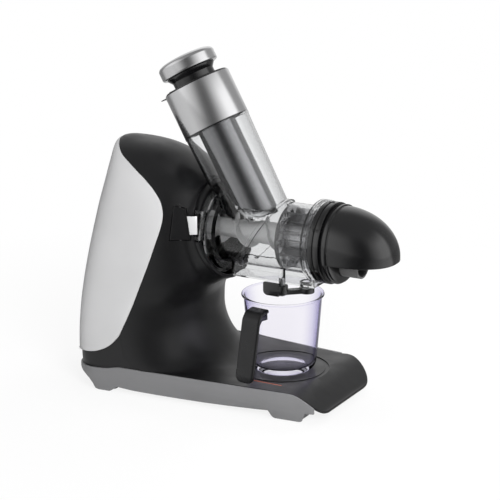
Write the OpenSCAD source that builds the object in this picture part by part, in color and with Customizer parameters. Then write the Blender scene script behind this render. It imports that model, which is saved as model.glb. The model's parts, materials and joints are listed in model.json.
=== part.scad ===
// Horizontal slow juicer with an inclined wide chute, a clear bowl and a jug.
// Origin: middle of the footprint on the table. +X to the pulp outlet, +Z up.

/* [Overall] */
// Length from the back of the housing to the tip of the pulp hood
overall_l = 394.9; // [390:0.1:400]
// Length from the back of the housing to the middle of the socket face
housing_l = 165.3; // [163:0.1:168]
// From the socket face to the front of the bowl's front flange
bowl_reach = 138.6; // [137:0.1:140]
// Length of the ring nut
nut_l = 14; // [13.6:0.1:15]
// Height of the top of the housing over the table
body_top_z = 300; // [297:0.5:303]
// Width of the housing at its widest place
body_w = 198; // [196:0.5:200]
// Wall of the housing mouldings
wall_t = 2.5; // [2.2:0.1:2.8]
// Thickness of the panel that wraps the sides and the back
panel_t = 2; // [1.8:0.05:2.1]
// Gap between the panel and the moulding behind it
panel_gap = 0.2; // [0.15:0.01:0.25]
// Radius of the flare where the column runs into the deck
flare_r = 54; // [50:0.5:58]

/* [Base] */
// Length of the base
base_l = 335.5; // [333:0.1:338]
// How far the base stays inside the back of the housing
base_inset = 4.4; // [4:0.1:4.8]
// Width of the base at its back end
base_w_back = 208.3; // [206:0.1:210]
// Width of the base at the nose
base_w_nose = 153.2; // [151:0.1:155]
// Height of the deck over the table
deck_z = 33; // [32.5:0.1:33.5]
// Thickness of the skirt wall
skirt_t = 2.6; // [2.4:0.05:2.8]
// Corner radius of the base at the back
rear_corner_r = 30; // [28:0.5:32]
// Radius of the near corner of the nose
near_corner_r = 20; // [18:0.5:22]
// Radius of the far corner of the nose
far_corner_r = 52; // [49:0.5:54]
// Height of the bottom plate's underside
plate_z = 12.6; // [12.5:0.05:13]
// Thickness of the bottom plate
plate_t = 2.4; // [2:0.1:2.6]
// Radius of a rubber foot pad
pad_r = 8; // [7:0.1:8.5]
// Thickness of a rubber foot pad
pad_t = 4; // [3.5:0.1:4.5]
// How far a rubber pad stands out under the skirt
pad_proud = 0.8; // [0.6:0.05:1]
// Radius of a housing screw's shank
screw_r = 1.9; // [1.7:0.05:2]
// Radius of the groove in the deck round the jug
groove_r = 56; // [55:0.1:57]
// Width of that groove
groove_w = 5; // [4:0.1:5.5]
// Depth of that groove
groove_t = 0.9; // [0.7:0.05:1]

/* [Bowl] */
// Height of the auger axis over the table
bowl_z = 198.7; // [198:0.1:199.5]
// Lean of the socket face
face_tilt = 15.6; // [15.2:0.1:16]
// Outer radius of the socket ring
socket_r = 62; // [61.6:0.1:62.4]
// Radius of the socket behind the ring
cavity_r = 55; // [54.8:0.1:55.2]
// Depth of the socket behind the middle of its face
socket_l = 39.4; // [39:0.1:40]
// Outer radius of the drum of the bowl
drum_r = 41; // [40.8:0.1:41.3]
// Wall of the bowl
bowl_t = 2.5; // [2.3:0.1:2.6]
// Outer radius of the flange that sits in the socket
flange_r = 54; // [53.8:0.1:54.2]
// Outer radius of the front flange of the bowl
front_flange_r = 49.4; // [49:0.1:50]
// Outer radius of the chute at the collar
chute_r = 40.8; // [40.6:0.1:41]
// Lean of the chute back from upright
chute_lean = 29.2; // [28.8:0.1:29.6]
// From the socket face to the place where the chute meets the auger axis
chute_reach = 60.8; // [60:0.1:61.5]
// Height of the collar's lower edge along the chute
collar_low = 143; // [142:0.5:144]
// Height of the collar's upper edge along the chute
collar_high = 197.8; // [197:0.1:198.4]
// Thickness of the collar
collar_t = 0.8; // [0.7:0.05:0.9]
// Radius of the juice nozzle
nozzle_r = 8; // [7.6:0.1:8.4]
// Height of the nozzle's lower end
nozzle_z = 139; // [138.5:0.1:139.5]
// Half width of the juice trough
trough_r = 18; // [17.5:0.1:18.5]

/* [Pusher] */
// Radius of the pusher tube
pusher_r = 24; // [23.8:0.1:24.1]
// Radius of the pusher's cap
knob_r = 35.5; // [35:0.1:36]
// Height of the cap
knob_t = 20.6; // [20:0.1:21.5]
// Thickness of the chute lid
lid_t = 2.2; // [2:0.1:2.4]
// Running clearance between the lid and the pusher
lid_gap = 0.35; // [0.3:0.05:0.4]

/* [Auger] */
// Outer radius of the auger flights
auger_r = 20; // [19.6:0.1:20.3]
// Core radius of the auger at the chute
core_r = 11; // [10.6:0.1:11.4]
// Thickness of an auger flight
flight_t = 4.4; // [4:0.1:4.8]
// Turns of the auger flight
flight_turns = 3.2; // [2.8:0.1:3.6]
// Inner radius of the strainer screen
strainer_r = 21; // [20.8:0.1:21.3]
// Thickness of the strainer screen
strainer_t = 1.4; // [1.2:0.1:1.6]
// Outer radius of the strainer cage
cage_r = 37.9; // [37.7:0.1:38]
// Clearance for running and sliding fits between curved faces
run_gap = 0.3; // [0.25:0.01:0.35]
// Clearance of a shaft in its bearing
bearing_gap = 0.05; // [0.03:0.01:0.06]

/* [Front] */
// Outer radius of the ring nut
nut_r = 48.5; // [48:0.1:49]
// Length of the hood's flange
hood_flange_l = 11; // [10.8:0.1:11.4]
// Radius of the hood where the dome begins
hood_r = 45.5; // [45:0.1:46]
// Wall of the hood
hood_t = 2.4; // [2.2:0.1:2.6]
// Outer radius of the pulp spout
spout_r = 16.5; // [16:0.1:17]
// Height of the spout's axis
spout_z = 177; // [176.5:0.1:177.5]
// Radius of the drip lever's hub
hub_r = 7; // [6.8:0.1:7.2]
// Radius of the drip lever's pin
lever_pin_r = 2.6; // [2.4:0.05:2.8]
// Thickness of the lever's paddle and arm
lever_t = 3.2; // [3:0.1:3.4]

/* [Jug] */
// Outer radius of the jug's rim
jug_r = 50; // [49.5:0.1:50.5]
// Outer radius of the jug at its foot
jug_foot_r = 40.5; // [40:0.1:41]
// Height of the jug's rim over the table
jug_rim_z = 127.8; // [127:0.1:128.5]
// Wall of the jug
jug_t = 2.4; // [2.2:0.1:2.6]
// From the socket face to the middle of the jug
jug_reach = 80.6; // [80:0.1:81]
// Direction of the jug's handle in plan
grip_turn = -95; // [-97:0.5:-93]
// Width of the jug's handle
grip_w = 25; // [24:0.1:26]

/* [Latch] */
// Turn of the button towards the front, in plan
latch_turn = 32; // [31.5:0.5:32.5]
// Lean of the button that frees the bowl
latch_tilt = 13; // [12.8:0.1:13.2]
// Distance of the button's outer face from the middle of the socket face
latch_d = 48.7; // [48.5:0.1:48.9]
// Thickness of the button
latch_t = 7.5; // [7.3:0.1:7.6]
// Thickness of the latch tab
tab_t = 2.2; // [2:0.1:2.3]
// Gap round the button
latch_gap = 0.8; // [0.7:0.05:0.9]
// Radius of the pin on which the button rocks
latch_pin_r = 1.1; // [1.05:0.05:1.15]

/* [Drive] */
// Module of the output gear and the pinion that drives it
slow_module = 1.5; // [1.48:0.01:1.51]
// Module of the first pair of gears
fast_module = 1; // [0.98:0.01:1.01]
// Radius of the output shaft
out_r = 8; // [7.8:0.1:8.1]
// Radius of the lay shaft
lay_r = 5; // [4.9:0.1:5.1]
// Radius of the motor shaft
motor_r = 4; // [3.9:0.1:4.1]
// Width of the output gear
gear_w = 13; // [12:0.1:13.5]
// Side of the motor's stack of sheets
stator_w = 74; // [72:0.5:75]
// Length of that stack
stator_l = 30; // [28:0.5:31]
// Radius of the rotor
rotor_r = 21; // [20:0.1:21.4]
// Radius of the cooling fan
fan_r = 27; // [25:0.5:28]
// Wall of the gear case
case_t = 3; // [2.8:0.1:3.2]

/* [Switch and inlet] */
// Width of the switch opening in the back
switch_w = 21; // [20:0.1:22]
// Height of the switch opening
switch_h = 14; // [13.5:0.1:14.5]
// Height of the switch over the table
switch_z = 70; // [69:0.5:71]
// Outer radius of the cord inlet
gland_r = 6; // [5.6:0.1:6.2]

/* [Hidden] */

over = overall_l / 400;
back_x = -overall_l / 2;
face_x = back_x + housing_l;
body_h = body_top_z - deck_z;
bowl_front_x = face_x + bowl_reach;
nut_front_x = bowl_front_x + nut_l;
dome_x = nut_front_x + hood_flange_l;
tip_x = overall_l / 2;
jug_x = face_x + jug_reach;
base_x = back_x + base_inset;
nose_x = base_x + base_l;
socket_back_x = face_x - socket_l;
wide = body_w * 1.3;

// Helpers

function unit2(v) = v / norm(v);

// points of one rounded corner q between p and r
function corner(p, q, r, rad, n) =
  rad <= 0 ? [q] :
  let(a = unit2(p - q), b = unit2(r - q), half = acos(a * b) / 2,
    c = q + unit2(a + b) * rad / sin(half),
    s = q + a * rad / tan(half), e = q + b * rad / tan(half),
    a0 = atan2(s[1] - c[1], s[0] - c[0]), a1 = atan2(e[1] - c[1], e[0] - c[0]),
    da = (a1 - a0 + 540) % 360 - 180)
  [for (i = [0 : n]) c + rad * [cos(a0 + da * i / n), sin(a0 + da * i / n)]];

function rounded(pts, radii, n = 8) =
  let(m = len(pts))
  [for (i = [0 : m - 1])
    each corner(pts[(i + m - 1) % m], pts[i], pts[(i + 1) % m], radii[i], n)];

// a drawing in X and Z, run out to both sides of the middle plane
module side_slab(pts, half) {
  translate([0, half, 0])
    rotate([90, 0, 0])
      linear_extrude(height = 2 * half)
        polygon(pts);
}

// local +Z runs along +X on the auger axis
module on_axis(x) {
  translate([x, 0, bowl_z])
    rotate([0, 90, 0])
      children();
}

module tube(r_out, r_in, l) {
  difference() {
    cylinder(r = r_out, h = l, $fn = 96);
    translate([0, 0, -over])
      cylinder(r = r_in, h = l + 2 * over, $fn = 96);
  }
}

// local +Z runs up along the chute
module on_chute(s) {
  translate([face_x + chute_reach, 0, bowl_z])
    rotate([0, -chute_lean, 0])
      translate([0, 0, s])
        children();
}

// local X across the button, local Y up the button, local Z out from its face
module on_latch() {
  translate([face_x, 0, bowl_z])
    rotate([90 - latch_tilt, 0, latch_turn])
      children();
}

// Parts: lofted housing

// share of the height, of the length to the back and to the front, of the half width; powers
housing_shares = [
  [0.000, 0.009, 0.872, 1.000, 5.5, 2.2],
  [0.120, 0.018, 0.872, 0.995, 5.5, 2.2],
  [0.221, 0.025, 0.871, 0.987, 5.2, 2.2],
  [0.296, 0.033, 0.883, 0.976, 5.0, 2.25],
  [0.356, 0.043, 0.931, 0.966, 4.9, 2.4],
  [0.419, 0.055, 0.979, 0.954, 4.8, 2.6],
  [0.517, 0.078, 1.007, 0.932, 4.5, 2.8],
  [0.614, 0.105, 1.007, 0.904, 4.2, 2.8],
  [0.712, 0.128, 0.979, 0.859, 3.8, 2.7],
  [0.775, 0.136, 0.946, 0.808, 3.4, 2.6],
  [0.828, 0.141, 0.907, 0.747, 3.1, 2.5],
  [0.880, 0.142, 0.822, 0.652, 2.9, 2.4],
  [0.925, 0.135, 0.707, 0.525, 2.7, 2.3],
  [0.959, 0.126, 0.604, 0.394, 2.6, 2.2],
  [0.981, 0.126, 0.489, 0.263, 2.5, 2.2],
  [0.994, 0.151, 0.356, 0.141, 2.4, 2.1],
  [1.000, 0.205, 0.284, 0.040, 2.2, 2.0]];
ring_steps = concat([0, 0.04, 0.15, 0.33, 0.6, 1, 2], [for (i = [6 : 30]) i / 2], [15.5, 16]);
ring_n = 36;
taper = (base_w_back - base_w_nose) / 2 / base_l;
taper_x = back_x + housing_l * 0.429;

function blend4(a, b, c, d, f) =
  ((2 * b) + (c - a) * f + (2 * a - 5 * b + 4 * c - d) * f * f
  + (3 * b - a - 3 * c + d) * f * f * f) / 2;

function station(t) =
  let(v = housing_shares, m = len(v) - 1, i = min(max(floor(t), 0), m - 1))
  blend4(v[max(i - 1, 0)], v[i], v[i + 1], v[min(i + 2, m)], t - i);

function spread(c, p) = sign(c) * pow(abs(c), 2 / p);

function flare(h) = h >= flare_r ? 0 : flare_r - sqrt(flare_r * flare_r - (flare_r - h) * (flare_r - h));

// plan outline of the housing at one station, moved in by inset
function section(t, inset) =
  let(s = station(t), back = back_x + s[1] * housing_l + inset,
    front = back_x + s[2] * housing_l - inset + flare(s[0] * body_h + inset),
    w = s[3] * body_w / 2 - inset, mid = back + 0.45 * (front - back))
  [for (i = [0 : ring_n - 1])
    let(a = 360 * i / ring_n, c = cos(a),
      x = mid + (c > 0 ? (front - mid) * spread(c, s[5]) : (mid - back) * spread(c, s[4])),
      y = w * spread(sin(a), c > 0 ? s[5] : s[4]))
    [x, y * (1 - taper * (x - taper_x) / (body_w / 2))]];

function section_z(t, inset) = deck_z + station(t)[0] * (body_h - inset);

module housing_form(inset) {
  levels = len(ring_steps);
  low = [for (p = section(0, inset)) [p[0], p[1], deck_z * 0.8]];
  rings = [for (k = [0 : levels - 1])
    [for (p = section(ring_steps[k], inset)) [p[0], p[1], section_z(ring_steps[k], inset)]]];
  points = concat(low, [for (r = rings) each r]);
  sides = [for (k = [0 : levels - 1]) for (i = [0 : ring_n - 1])
    let(j = (i + 1) % ring_n, b = k * ring_n, t = b + ring_n)
    each [[b + i, t + i, t + j], [b + i, t + j, b + j]]];
  bottom = [[for (i = [0 : ring_n - 1]) i]];
  top = [[for (i = [ring_n - 1 : -1 : 0]) levels * ring_n + i]];
  polyhedron(points = points, faces = concat(sides, bottom, top), convexity = 6);
}

// edge of the panel, from the ridge down to the lower corner
panel_edge_shares = [[0.02, 1.036], [0.192, 0.981], [0.299, 0.947], [0.408, 0.918], [0.498, 0.891],
  [0.585, 0.861], [0.664, 0.824], [0.722, 0.783], [0.752, 0.742], [0.760, 0.711], [0.756, 0.680],
  [0.738, 0.628], [0.675, 0.501], [0.597, 0.374], [0.517, 0.252], [0.453, 0.163]];
panel_foot_shares = [[0.413, 0.130], [0.369, 0.103], [0.320, 0.083], [0.260, 0.067], [0.196, 0.058],
  [0.130, 0.055]];
seam_shares = [[0.459, 0.140], [0.465, 0.110], [0.475, 0.082], [0.491, 0.060], [0.513, 0.042],
  [0.550, 0.022], [0.598, 0.006], [0.623, 0.000]];

function housing_points(shares) =
  [for (p = shares) [back_x + p[0] * housing_l, deck_z + p[1] * body_h]];

module front_region() {
  side_slab(housing_points(concat(panel_edge_shares, seam_shares,
    [[0.75, 0.000], [1.7, 0.000], [1.7, 1.2], [0.02, 1.2]])), wide);
}

module panel_region() {
  side_slab(housing_points(concat(panel_edge_shares, panel_foot_shares,
    [[-0.1, 0.055], [-0.1, 1.2], [0.02, 1.2]])), wide);
}

module rear_region() {
  side_slab(concat(housing_points(concat([[0.02, 1.2]], panel_edge_shares, seam_shares)),
    base_points([[0.198, 1.0], [0.181, 0.967], [0.160, 0.915], [0.133, 0.880], [0.094, 0.866],
      [0.040, 0.864], [-0.05, 0.864]]), housing_points([[-0.1, 1.2]])), wide);
}

// Parts: base

function base_points(shares) = [for (p = shares) [base_x + p[0] * base_l, p[1] * deck_z]];

deck_roll_shares = [[0.869, 1.000], [0.886, 0.985], [0.902, 0.935], [0.918, 0.865], [0.934, 0.780],
  [0.950, 0.685], [0.966, 0.590], [0.981, 0.500], [0.991, 0.445], [1.000, 0.425]];
skirt_top_shares = [[-0.01, 0.864], [0.040, 0.864], [0.094, 0.866], [0.133, 0.880], [0.160, 0.915],
  [0.181, 0.967], [0.198, 1.000]];
skirt_low_shares = [[1.01, 0.366], [0.934, 0.364], [0.931, 0.335], [0.920, 0.050], [0.911, 0.0242],
  [0.820, 0.0242], [0.811, 0.050], [0.803, 0.130], [0.793, 0.275], [0.732, 0.242], [0.639, 0.203],
  [0.544, 0.176], [0.449, 0.167], [0.353, 0.167], [0.255, 0.182], [0.189, 0.233], [0.177, 0.185],
  [0.169, 0.070], [0.160, 0.0242], [0.116, 0.0242], [0.102, 0.060], [0.092, 0.230], [0.076, 0.409],
  [0.056, 0.533], [0.030, 0.640], [-0.01, 0.760]];

tail_shares = [[0.094, 0.382], [0.085, 0.382], [0.076, 0.409], [0.056, 0.533], [0.030, 0.640],
  [-0.01, 0.760], [-0.01, 0.835], [0.033, 0.715], [0.060, 0.605], [0.080, 0.470], [0.094, 0.455]];

// plan outline of the base, moved in by inset at the sides and by nose_inset at the nose
function base_outline(inset, nose_inset) =
  let(xb = base_x + inset, xn = nose_x - nose_inset,
    yb = base_w_back / 2 - inset * (1 + taper), yn = base_w_nose / 2 - inset + taper * nose_inset)
  rounded([[xb, -yb], [xn, -yn], [xn, yn], [xb, yb]],
    [rear_corner_r - inset, near_corner_r - inset, far_corner_r - inset, rear_corner_r - inset], 10);

module base_prism(inset, nose_inset) {
  linear_extrude(height = deck_z * 1.1)
    polygon(base_outline(inset, nose_inset));
}

// the strip of the deck in side view: its upper line and the same line wall_t lower
module deck_slab(drop, back_share) {
  roll = base_points(deck_roll_shares);
  top = concat(base_points([[back_share, 1.0]]), roll);
  low = [for (i = [len(roll) - 1 : -1 : 0]) roll[i] - [drop * i / (len(roll) - 1) * 0.35, drop]];
  side_slab(concat(top, low, [[base_x + back_share * base_l, deck_z - drop]]), wide);
}

module base_skirt() {
  color([0.42, 0.42, 0.43]) {
    difference() {
      intersection() {
        base_prism(0, skirt_t);
        side_slab(base_points(concat(skirt_top_shares, deck_roll_shares,
          [[1.01, 0.425]], skirt_low_shares)), wide);
      }
      translate([0, 0, -over])
        base_prism(skirt_t, 2 * skirt_t);
      nose_relief();
    }
    foot_blocks();
    intersection() {
      base_prism(skirt_t * 0.5, skirt_t);
      side_slab(base_points(tail_shares), wide);
    }
  }
}

// the deck turns down over the nose of the skirt here
module nose_relief() {
  intersection() {
    nose_zone(near_corner_r * 1.15, -wide);
    translate([0, 0, -over])
      base_prism(skirt_t, -skirt_t);
  }
  intersection() {
    nose_zone(far_corner_r * 1.06, 0);
    deck_slab(wall_t + run_gap, 0.30);
  }
}

// the last stretch of the base, l long, from the width low on
module nose_zone(l, low) {
  translate([nose_x - l, low, -over])
    cube([l + near_corner_r, wide - low, deck_z + over]);
}

foot_front_share = 0.866;
foot_rear_share = 0.141;
foot_l = base_l * 0.045;
foot_w = foot_l * 1.5;
pad_inset = pad_r * 1.6;

function foot_side(x) = base_w_back / 2 - taper * (x - base_x) - skirt_t;

// calls its child at the four feet, turned so that local +Y points to the outside
module at_feet() {
  for (share = [foot_front_share, foot_rear_share], s = [-1, 1]) {
    x = base_x + share * base_l;
    translate([x, s * (foot_side(x) - pad_inset), 0])
      scale([1, s, 1])
        children();
  }
}

module foot_blocks() {
  difference() {
    intersection() {
      base_prism(skirt_t * 0.5, skirt_t * 2);
      union() {
        at_feet()
          translate([-foot_l, -foot_w / 2, pad_proud])
            cube([2 * foot_l, foot_w + pad_inset, plate_z - pad_proud]);
      }
      side_slab(base_points(concat([[1.0, 0.6], [-0.01, 0.90]],
        [for (i = [len(skirt_low_shares) - 1 : -1 : 0]) skirt_low_shares[i]])), wide);
    }
    at_feet()
      translate([0, 0, -over])
        cylinder(r = pad_r + bearing_gap, h = pad_t + over, $fn = 48);
    at_feet()
      translate([0, 0, -over])
        cylinder(r = screw_r + bearing_gap, h = plate_z + 2 * over, $fn = 32);
  }
}

module rubber_feet() {
  color([0.12, 0.12, 0.12])
    at_feet()
      difference() {
        cylinder(r = pad_r, h = pad_t, $fn = 48);
        translate([0, 0, pad_t * 0.3])
          cylinder(r = screw_r * 1.9, h = pad_t, $fn = 32);
      }
}

module bottom_plate() {
  color([0.16, 0.16, 0.17])
    difference() {
      union() {
        translate([0, 0, plate_z])
          linear_extrude(height = plate_t)
            plate_plan();
        board_posts();
      }
      at_feet()
        translate([0, 0, plate_z - over])
          cylinder(r = screw_r + bearing_gap, h = plate_t + 2 * over, $fn = 32);
      for (i = [-3 : 3])
        translate([base_x + base_l * (0.22 + 0.022 * i), 0, plate_z - over])
          translate([-screw_r, -base_w_nose / 8, 0])
            cube([2 * screw_r, base_w_nose / 4, plate_t + 2 * over]);
    }
}

// the inside of the skirt in plan, between the tail and the front feet
module plate_plan() {
  intersection() {
    polygon(base_outline(skirt_t + run_gap, 2 * skirt_t + run_gap));
    translate([base_x + base_l * 0.095, -wide])
      square([base_l * 0.83, 2 * wide]);
  }
}

board_x = base_x + base_l * 0.175;
board_y = body_w * 0.27;
board_l = housing_l * 0.3;
board_w = body_w * 0.2;
board_z = plate_z + plate_t * 2.4;

module board_posts() {
  for (i = [-1, 1], j = [-1, 1])
    translate([board_x + i * board_l * 0.44, board_y + j * board_w * 0.42, plate_z])
      cylinder(r = screw_r * 1.5, h = board_z - plate_z, $fn = 24);
}

module control_board() {
  color([0.10, 0.35, 0.18]) {
    translate([board_x - board_l / 2, board_y - board_w / 2, board_z])
      cube([board_l, board_w, plate_t * 0.7]);
    translate([board_x - board_l * 0.3, board_y, board_z])
      cylinder(r = board_w * 0.18, h = board_w * 0.5, $fn = 32);
    translate([board_x, board_y - board_w * 0.2, board_z])
      cube([board_l * 0.3, board_w * 0.4, board_w * 0.4]);
  }
}

// Parts: mouldings of the housing

module housing_shell(a, b) {
  difference() {
    housing_form(a);
    housing_form(b);
  }
}

// the flat rim that joins the column to the deck
module column_rim() {
  translate([0, 0, deck_z])
    linear_extrude(height = wall_t)
      difference() {
        polygon(section(0, wall_t * 0.12));
        polygon(section(0, wall_t * 3.4));
      }
  translate([0, 0, deck_z - wall_t])
    linear_extrude(height = wall_t * 1.8)
      difference() {
        polygon(section(0, wall_t * 2));
        polygon(section(0, wall_t * 3.4));
      }
}

collar_back_r = socket_r * 1.1;
collar_l = socket_l * 1.25;

module on_face(d) {
  translate([face_x, 0, bowl_z])
    rotate([0, 90 - face_tilt, 0])
      translate([0, 0, d])
        children();
}

ring_t = wall_t * 2;
ring_in_r = socket_r - 2 * wall_t;

module socket_ring() {
  color([0.05, 0.05, 0.055])
    difference() {
      on_face(-ring_t)
        cylinder(r = socket_r, h = ring_t, $fn = 96);
      on_axis(socket_back_x)
        cylinder(r = ring_in_r - wall_t * 0.4, h = socket_l * 3, $fn = 96);
      latch_slot(latch_gap);
      on_chute(0)
        cylinder(r1 = chute_r * 0.92 + lid_gap, r2 = chute_r + lid_gap, h = collar_low, $fn = 96);
    }
}

button_shares = [[-1.670, -0.320], [-1.041, -0.330], [-1.168, 0.609], [-1.523, 0.711]];
ridge_shares = [[-1.090, -0.315], [-1.045, -0.315], [-1.170, 0.595], [-1.215, 0.605]];
tab_x0 = -socket_l * 1.155;
tab_x1 = -socket_l * 0.838;
tab_low = -socket_l * 0.178;
tab_high = socket_l * 0.381;
tab_d = latch_d - latch_t * 0.56;
latch_pin_x = -socket_l * 1.345;
latch_pin_d = latch_d - latch_t * 0.73;
lug_turn = -104.8;
lug_half = 17;

function button_points(g) =
  let(p = [for (q = button_shares) q * socket_l])
  [p[0] + [-g, -g], p[1] + [g, -g], p[2] + [g, g], p[3] + [-g, g]];

// the way for the tab and the bowl's lug through the socket ring
module latch_slot(g) {
  on_latch()
    translate([tab_x0 - g, tab_low - g, tab_d - g])
      cube([tab_x1 - tab_x0 + 3 * g, tab_high - tab_low + 2 * g, latch_t * 2]);
  on_axis(face_x - socket_l * 0.25)
    rotate([0, 0, lug_turn])
      translate([cavity_r * 0.9, -socket_r * sin(lug_half + 1.5), 0])
        cube([socket_r * 1.05 - cavity_r * 0.9, 2 * socket_r * sin(lug_half + 1.5), socket_l]);
}

module button_pocket() {
  on_latch()
    translate([0, 0, latch_d - latch_t - latch_gap])
      linear_extrude(height = latch_t * 4)
        polygon(button_points(latch_gap));
}

module release_button() {
  color([0.07, 0.07, 0.075])
    on_latch()
      difference() {
        union() {
          translate([0, 0, latch_d - latch_t])
            linear_extrude(height = latch_t)
              polygon(button_points(0));
          translate([0, 0, latch_d - over])
            linear_extrude(height = latch_gap * 1.5 + over)
              polygon([for (q = ridge_shares) q * socket_l]);
        }
        translate([latch_pin_x, -socket_l, latch_pin_d])
          rotate([-90, 0, 0])
            cylinder(r = latch_pin_r + bearing_gap, h = socket_l * 2, $fn = 32);
        translate([tab_x0, tab_low, tab_d])
          cube([socket_l, tab_high - tab_low, tab_t]);
        translate([latch_pin_x - latch_pin_r * 3, -socket_l * 0.12, latch_d - latch_t - over])
          cube([latch_pin_r * 6, socket_l * 0.24, latch_t * 0.27 + latch_pin_r * 2 + over]);
      }
}

module latch_pin() {
  color([0.7, 0.7, 0.72])
    on_latch()
      translate([latch_pin_x, -socket_l * 0.42, latch_pin_d])
        rotate([-90, 0, 0])
          cylinder(r = latch_pin_r, h = socket_l * 1.17, $fn = 32);
}

module latch_pin_way() {
  on_latch()
    translate([latch_pin_x, -socket_l * 0.43, latch_pin_d])
      rotate([-90, 0, 0])
        cylinder(r = latch_pin_r + bearing_gap, h = socket_l * 1.19, $fn = 32);
}

module latch_spring() {
  color([0.6, 0.6, 0.62])
    on_latch()
      for (i = [-2 : 2])
        translate([latch_pin_x, i * socket_l * 0.04 - latch_pin_r * 0.4, latch_pin_d])
          rotate([-90, 0, 0])
            tube(latch_pin_r * 1.7, latch_pin_r + bearing_gap, latch_pin_r * 0.8);
}

module latch_tab() {
  color([0.85, 0.85, 0.86])
    on_latch()
      translate([tab_x0 + bearing_gap, tab_low + bearing_gap, tab_d + bearing_gap])
        cube([tab_x1 - tab_x0, tab_high - tab_low - 2 * bearing_gap, tab_t - 2 * bearing_gap]);
}

boss_r = screw_r * 2.6;

module front_housing() {
  color([0.06, 0.06, 0.065])
    difference() {
      union() {
        difference() {
          union() {
            intersection() {
              housing_form(0);
              front_region();
            }
            on_face(-collar_l)
              cylinder(r1 = collar_back_r, r2 = socket_r, h = collar_l - ring_t, $fn = 96);
          }
          difference() {
            housing_form(wall_t);
            on_axis(socket_back_x - wall_t)
              cylinder(r = cavity_r + wall_t * 0.8, h = socket_l * 2, $fn = 96);
          }
        }
        intersection() {
          column_rim();
          front_region_low();
          housing_form(0);
        }
        difference() {
          intersection() {
            base_prism(skirt_t + bearing_gap, 0);
            deck_slab(wall_t, 0.30);
          }
          translate([0, 0, deck_z * 0.5])
            linear_extrude(height = deck_z)
              polygon(section(0, wall_t * 3));
        }
        nose_lip();
        front_bosses();
      }
      on_axis(socket_back_x)
        cylinder(r = cavity_r, h = socket_l * 3, $fn = 96);
      on_axis(socket_back_x - 2 * wall_t)
        cylinder(r = out_r * 1.9, h = wall_t * 4, $fn = 64);
      on_face(-ring_t)
        cylinder(r = socket_r * 1.02, h = socket_l, $fn = 96);
      button_pocket();
      latch_slot(latch_gap);
      latch_pin_way();
      jug_groove();
      strip_slot(bearing_gap);
      front_boss_bores();
    }
}

module front_region_low() {
  side_slab(housing_points([[0.628, -0.05], [1.7, -0.05], [1.7, 0.05], [0.628, 0.05]]), wide);
}

// the deck's own edge round the nose, over the skirt
module nose_lip() {
  intersection() {
    base_prism(0, 0);
    deck_slab(wall_t * 0.9, 0.30);
    nose_zone(far_corner_r * 1.06, 0);
  }
}

module front_bosses() {
  for (s = [-1, 1]) {
    x = base_x + foot_front_share * base_l;
    translate([x, s * (foot_side(x) - pad_inset), plate_z + plate_t])
      cylinder(r = boss_r, h = deck_z - plate_z - plate_t - wall_t * 0.5, $fn = 32);
  }
}

module front_boss_bores() {
  for (s = [-1, 1]) {
    x = base_x + foot_front_share * base_l;
    translate([x, s * (foot_side(x) - pad_inset), plate_z])
      cylinder(r = screw_r + bearing_gap, h = screw_l - pad_t, $fn = 32);
  }
}

screw_l = deck_z * 0.62;

module jug_groove() {
  translate([jug_x, 0, deck_z - groove_t])
    tube(groove_r, groove_r - groove_w, groove_t * 4);
}

strip_l = groove_r * 0.8;
strip_w = groove_t * 2.6;

module strip_slot(g) {
  translate([jug_x - groove_r * 0.27 - g, -groove_r - strip_w * 1.2 - g, deck_z - groove_t])
    cube([strip_l + 2 * g, strip_w + 2 * g, groove_t * 3]);
}

module deck_strip() {
  color([0.75, 0.35, 0.22])
    translate([jug_x - groove_r * 0.27, -groove_r - strip_w * 1.2, deck_z - groove_t])
      cube([strip_l, strip_w, groove_t]);
}

module rear_housing() {
  color([0.07, 0.07, 0.075])
    difference() {
      union() {
        intersection() {
          housing_shell(panel_t + panel_gap, panel_t + panel_gap + wall_t);
          rear_region();
        }
        for (s = [-1, 1]) {
          x = base_x + foot_rear_share * base_l;
          translate([x, s * (foot_side(x) - pad_inset), plate_z + plate_t])
            cylinder(r = boss_r, h = deck_z * 1.3 - plate_z, $fn = 32);
          intersection() {
            housing_form(panel_t + panel_gap + over * 0.1);
            translate([x - wall_t / 2, s * (foot_side(x) - pad_inset) - (s < 0 ? wide : 0), deck_z])
              cube([wall_t, wide, deck_z * 0.3]);
          }
        }
      }
      switch_way(bearing_gap);
      gland_way(bearing_gap);
      for (s = [-1, 1]) {
        x = base_x + foot_rear_share * base_l;
        translate([x, s * (foot_side(x) - pad_inset), plate_z])
          cylinder(r = screw_r + bearing_gap, h = screw_l - pad_t, $fn = 32);
      }
    }
}

module wrap_panel() {
  color([0.75, 0.75, 0.76])
    difference() {
      intersection() {
        housing_shell(0, panel_t);
        panel_region();
      }
      switch_way(bearing_gap);
    }
}

module switch_way(g) {
  translate([back_x - over, -switch_w / 2 - g, switch_z - switch_h / 2 - g])
    cube([switch_w * 1.2, switch_w + 2 * g, switch_h + 2 * g]);
}

gland_z = deck_z * 1.24;

module gland_way(g) {
  translate([back_x - over, 0, gland_z])
    rotate([0, 90, 0])
      cylinder(r = gland_r * 0.8 + g, h = switch_w, $fn = 48);
}

module housing_screws() {
  color([0.6, 0.6, 0.62])
    at_feet() {
      translate([0, 0, pad_t * 0.35])
        cylinder(r = screw_r * 1.8, h = pad_t * 0.5, $fn = 32);
      translate([0, 0, pad_t * 0.35])
        cylinder(r = screw_r, h = screw_l, $fn = 32);
    }
}

// Parts: switch and inlet

flange_x = back_x;
switch_d = switch_h * 0.9;
frame_t = wall_t;

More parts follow.
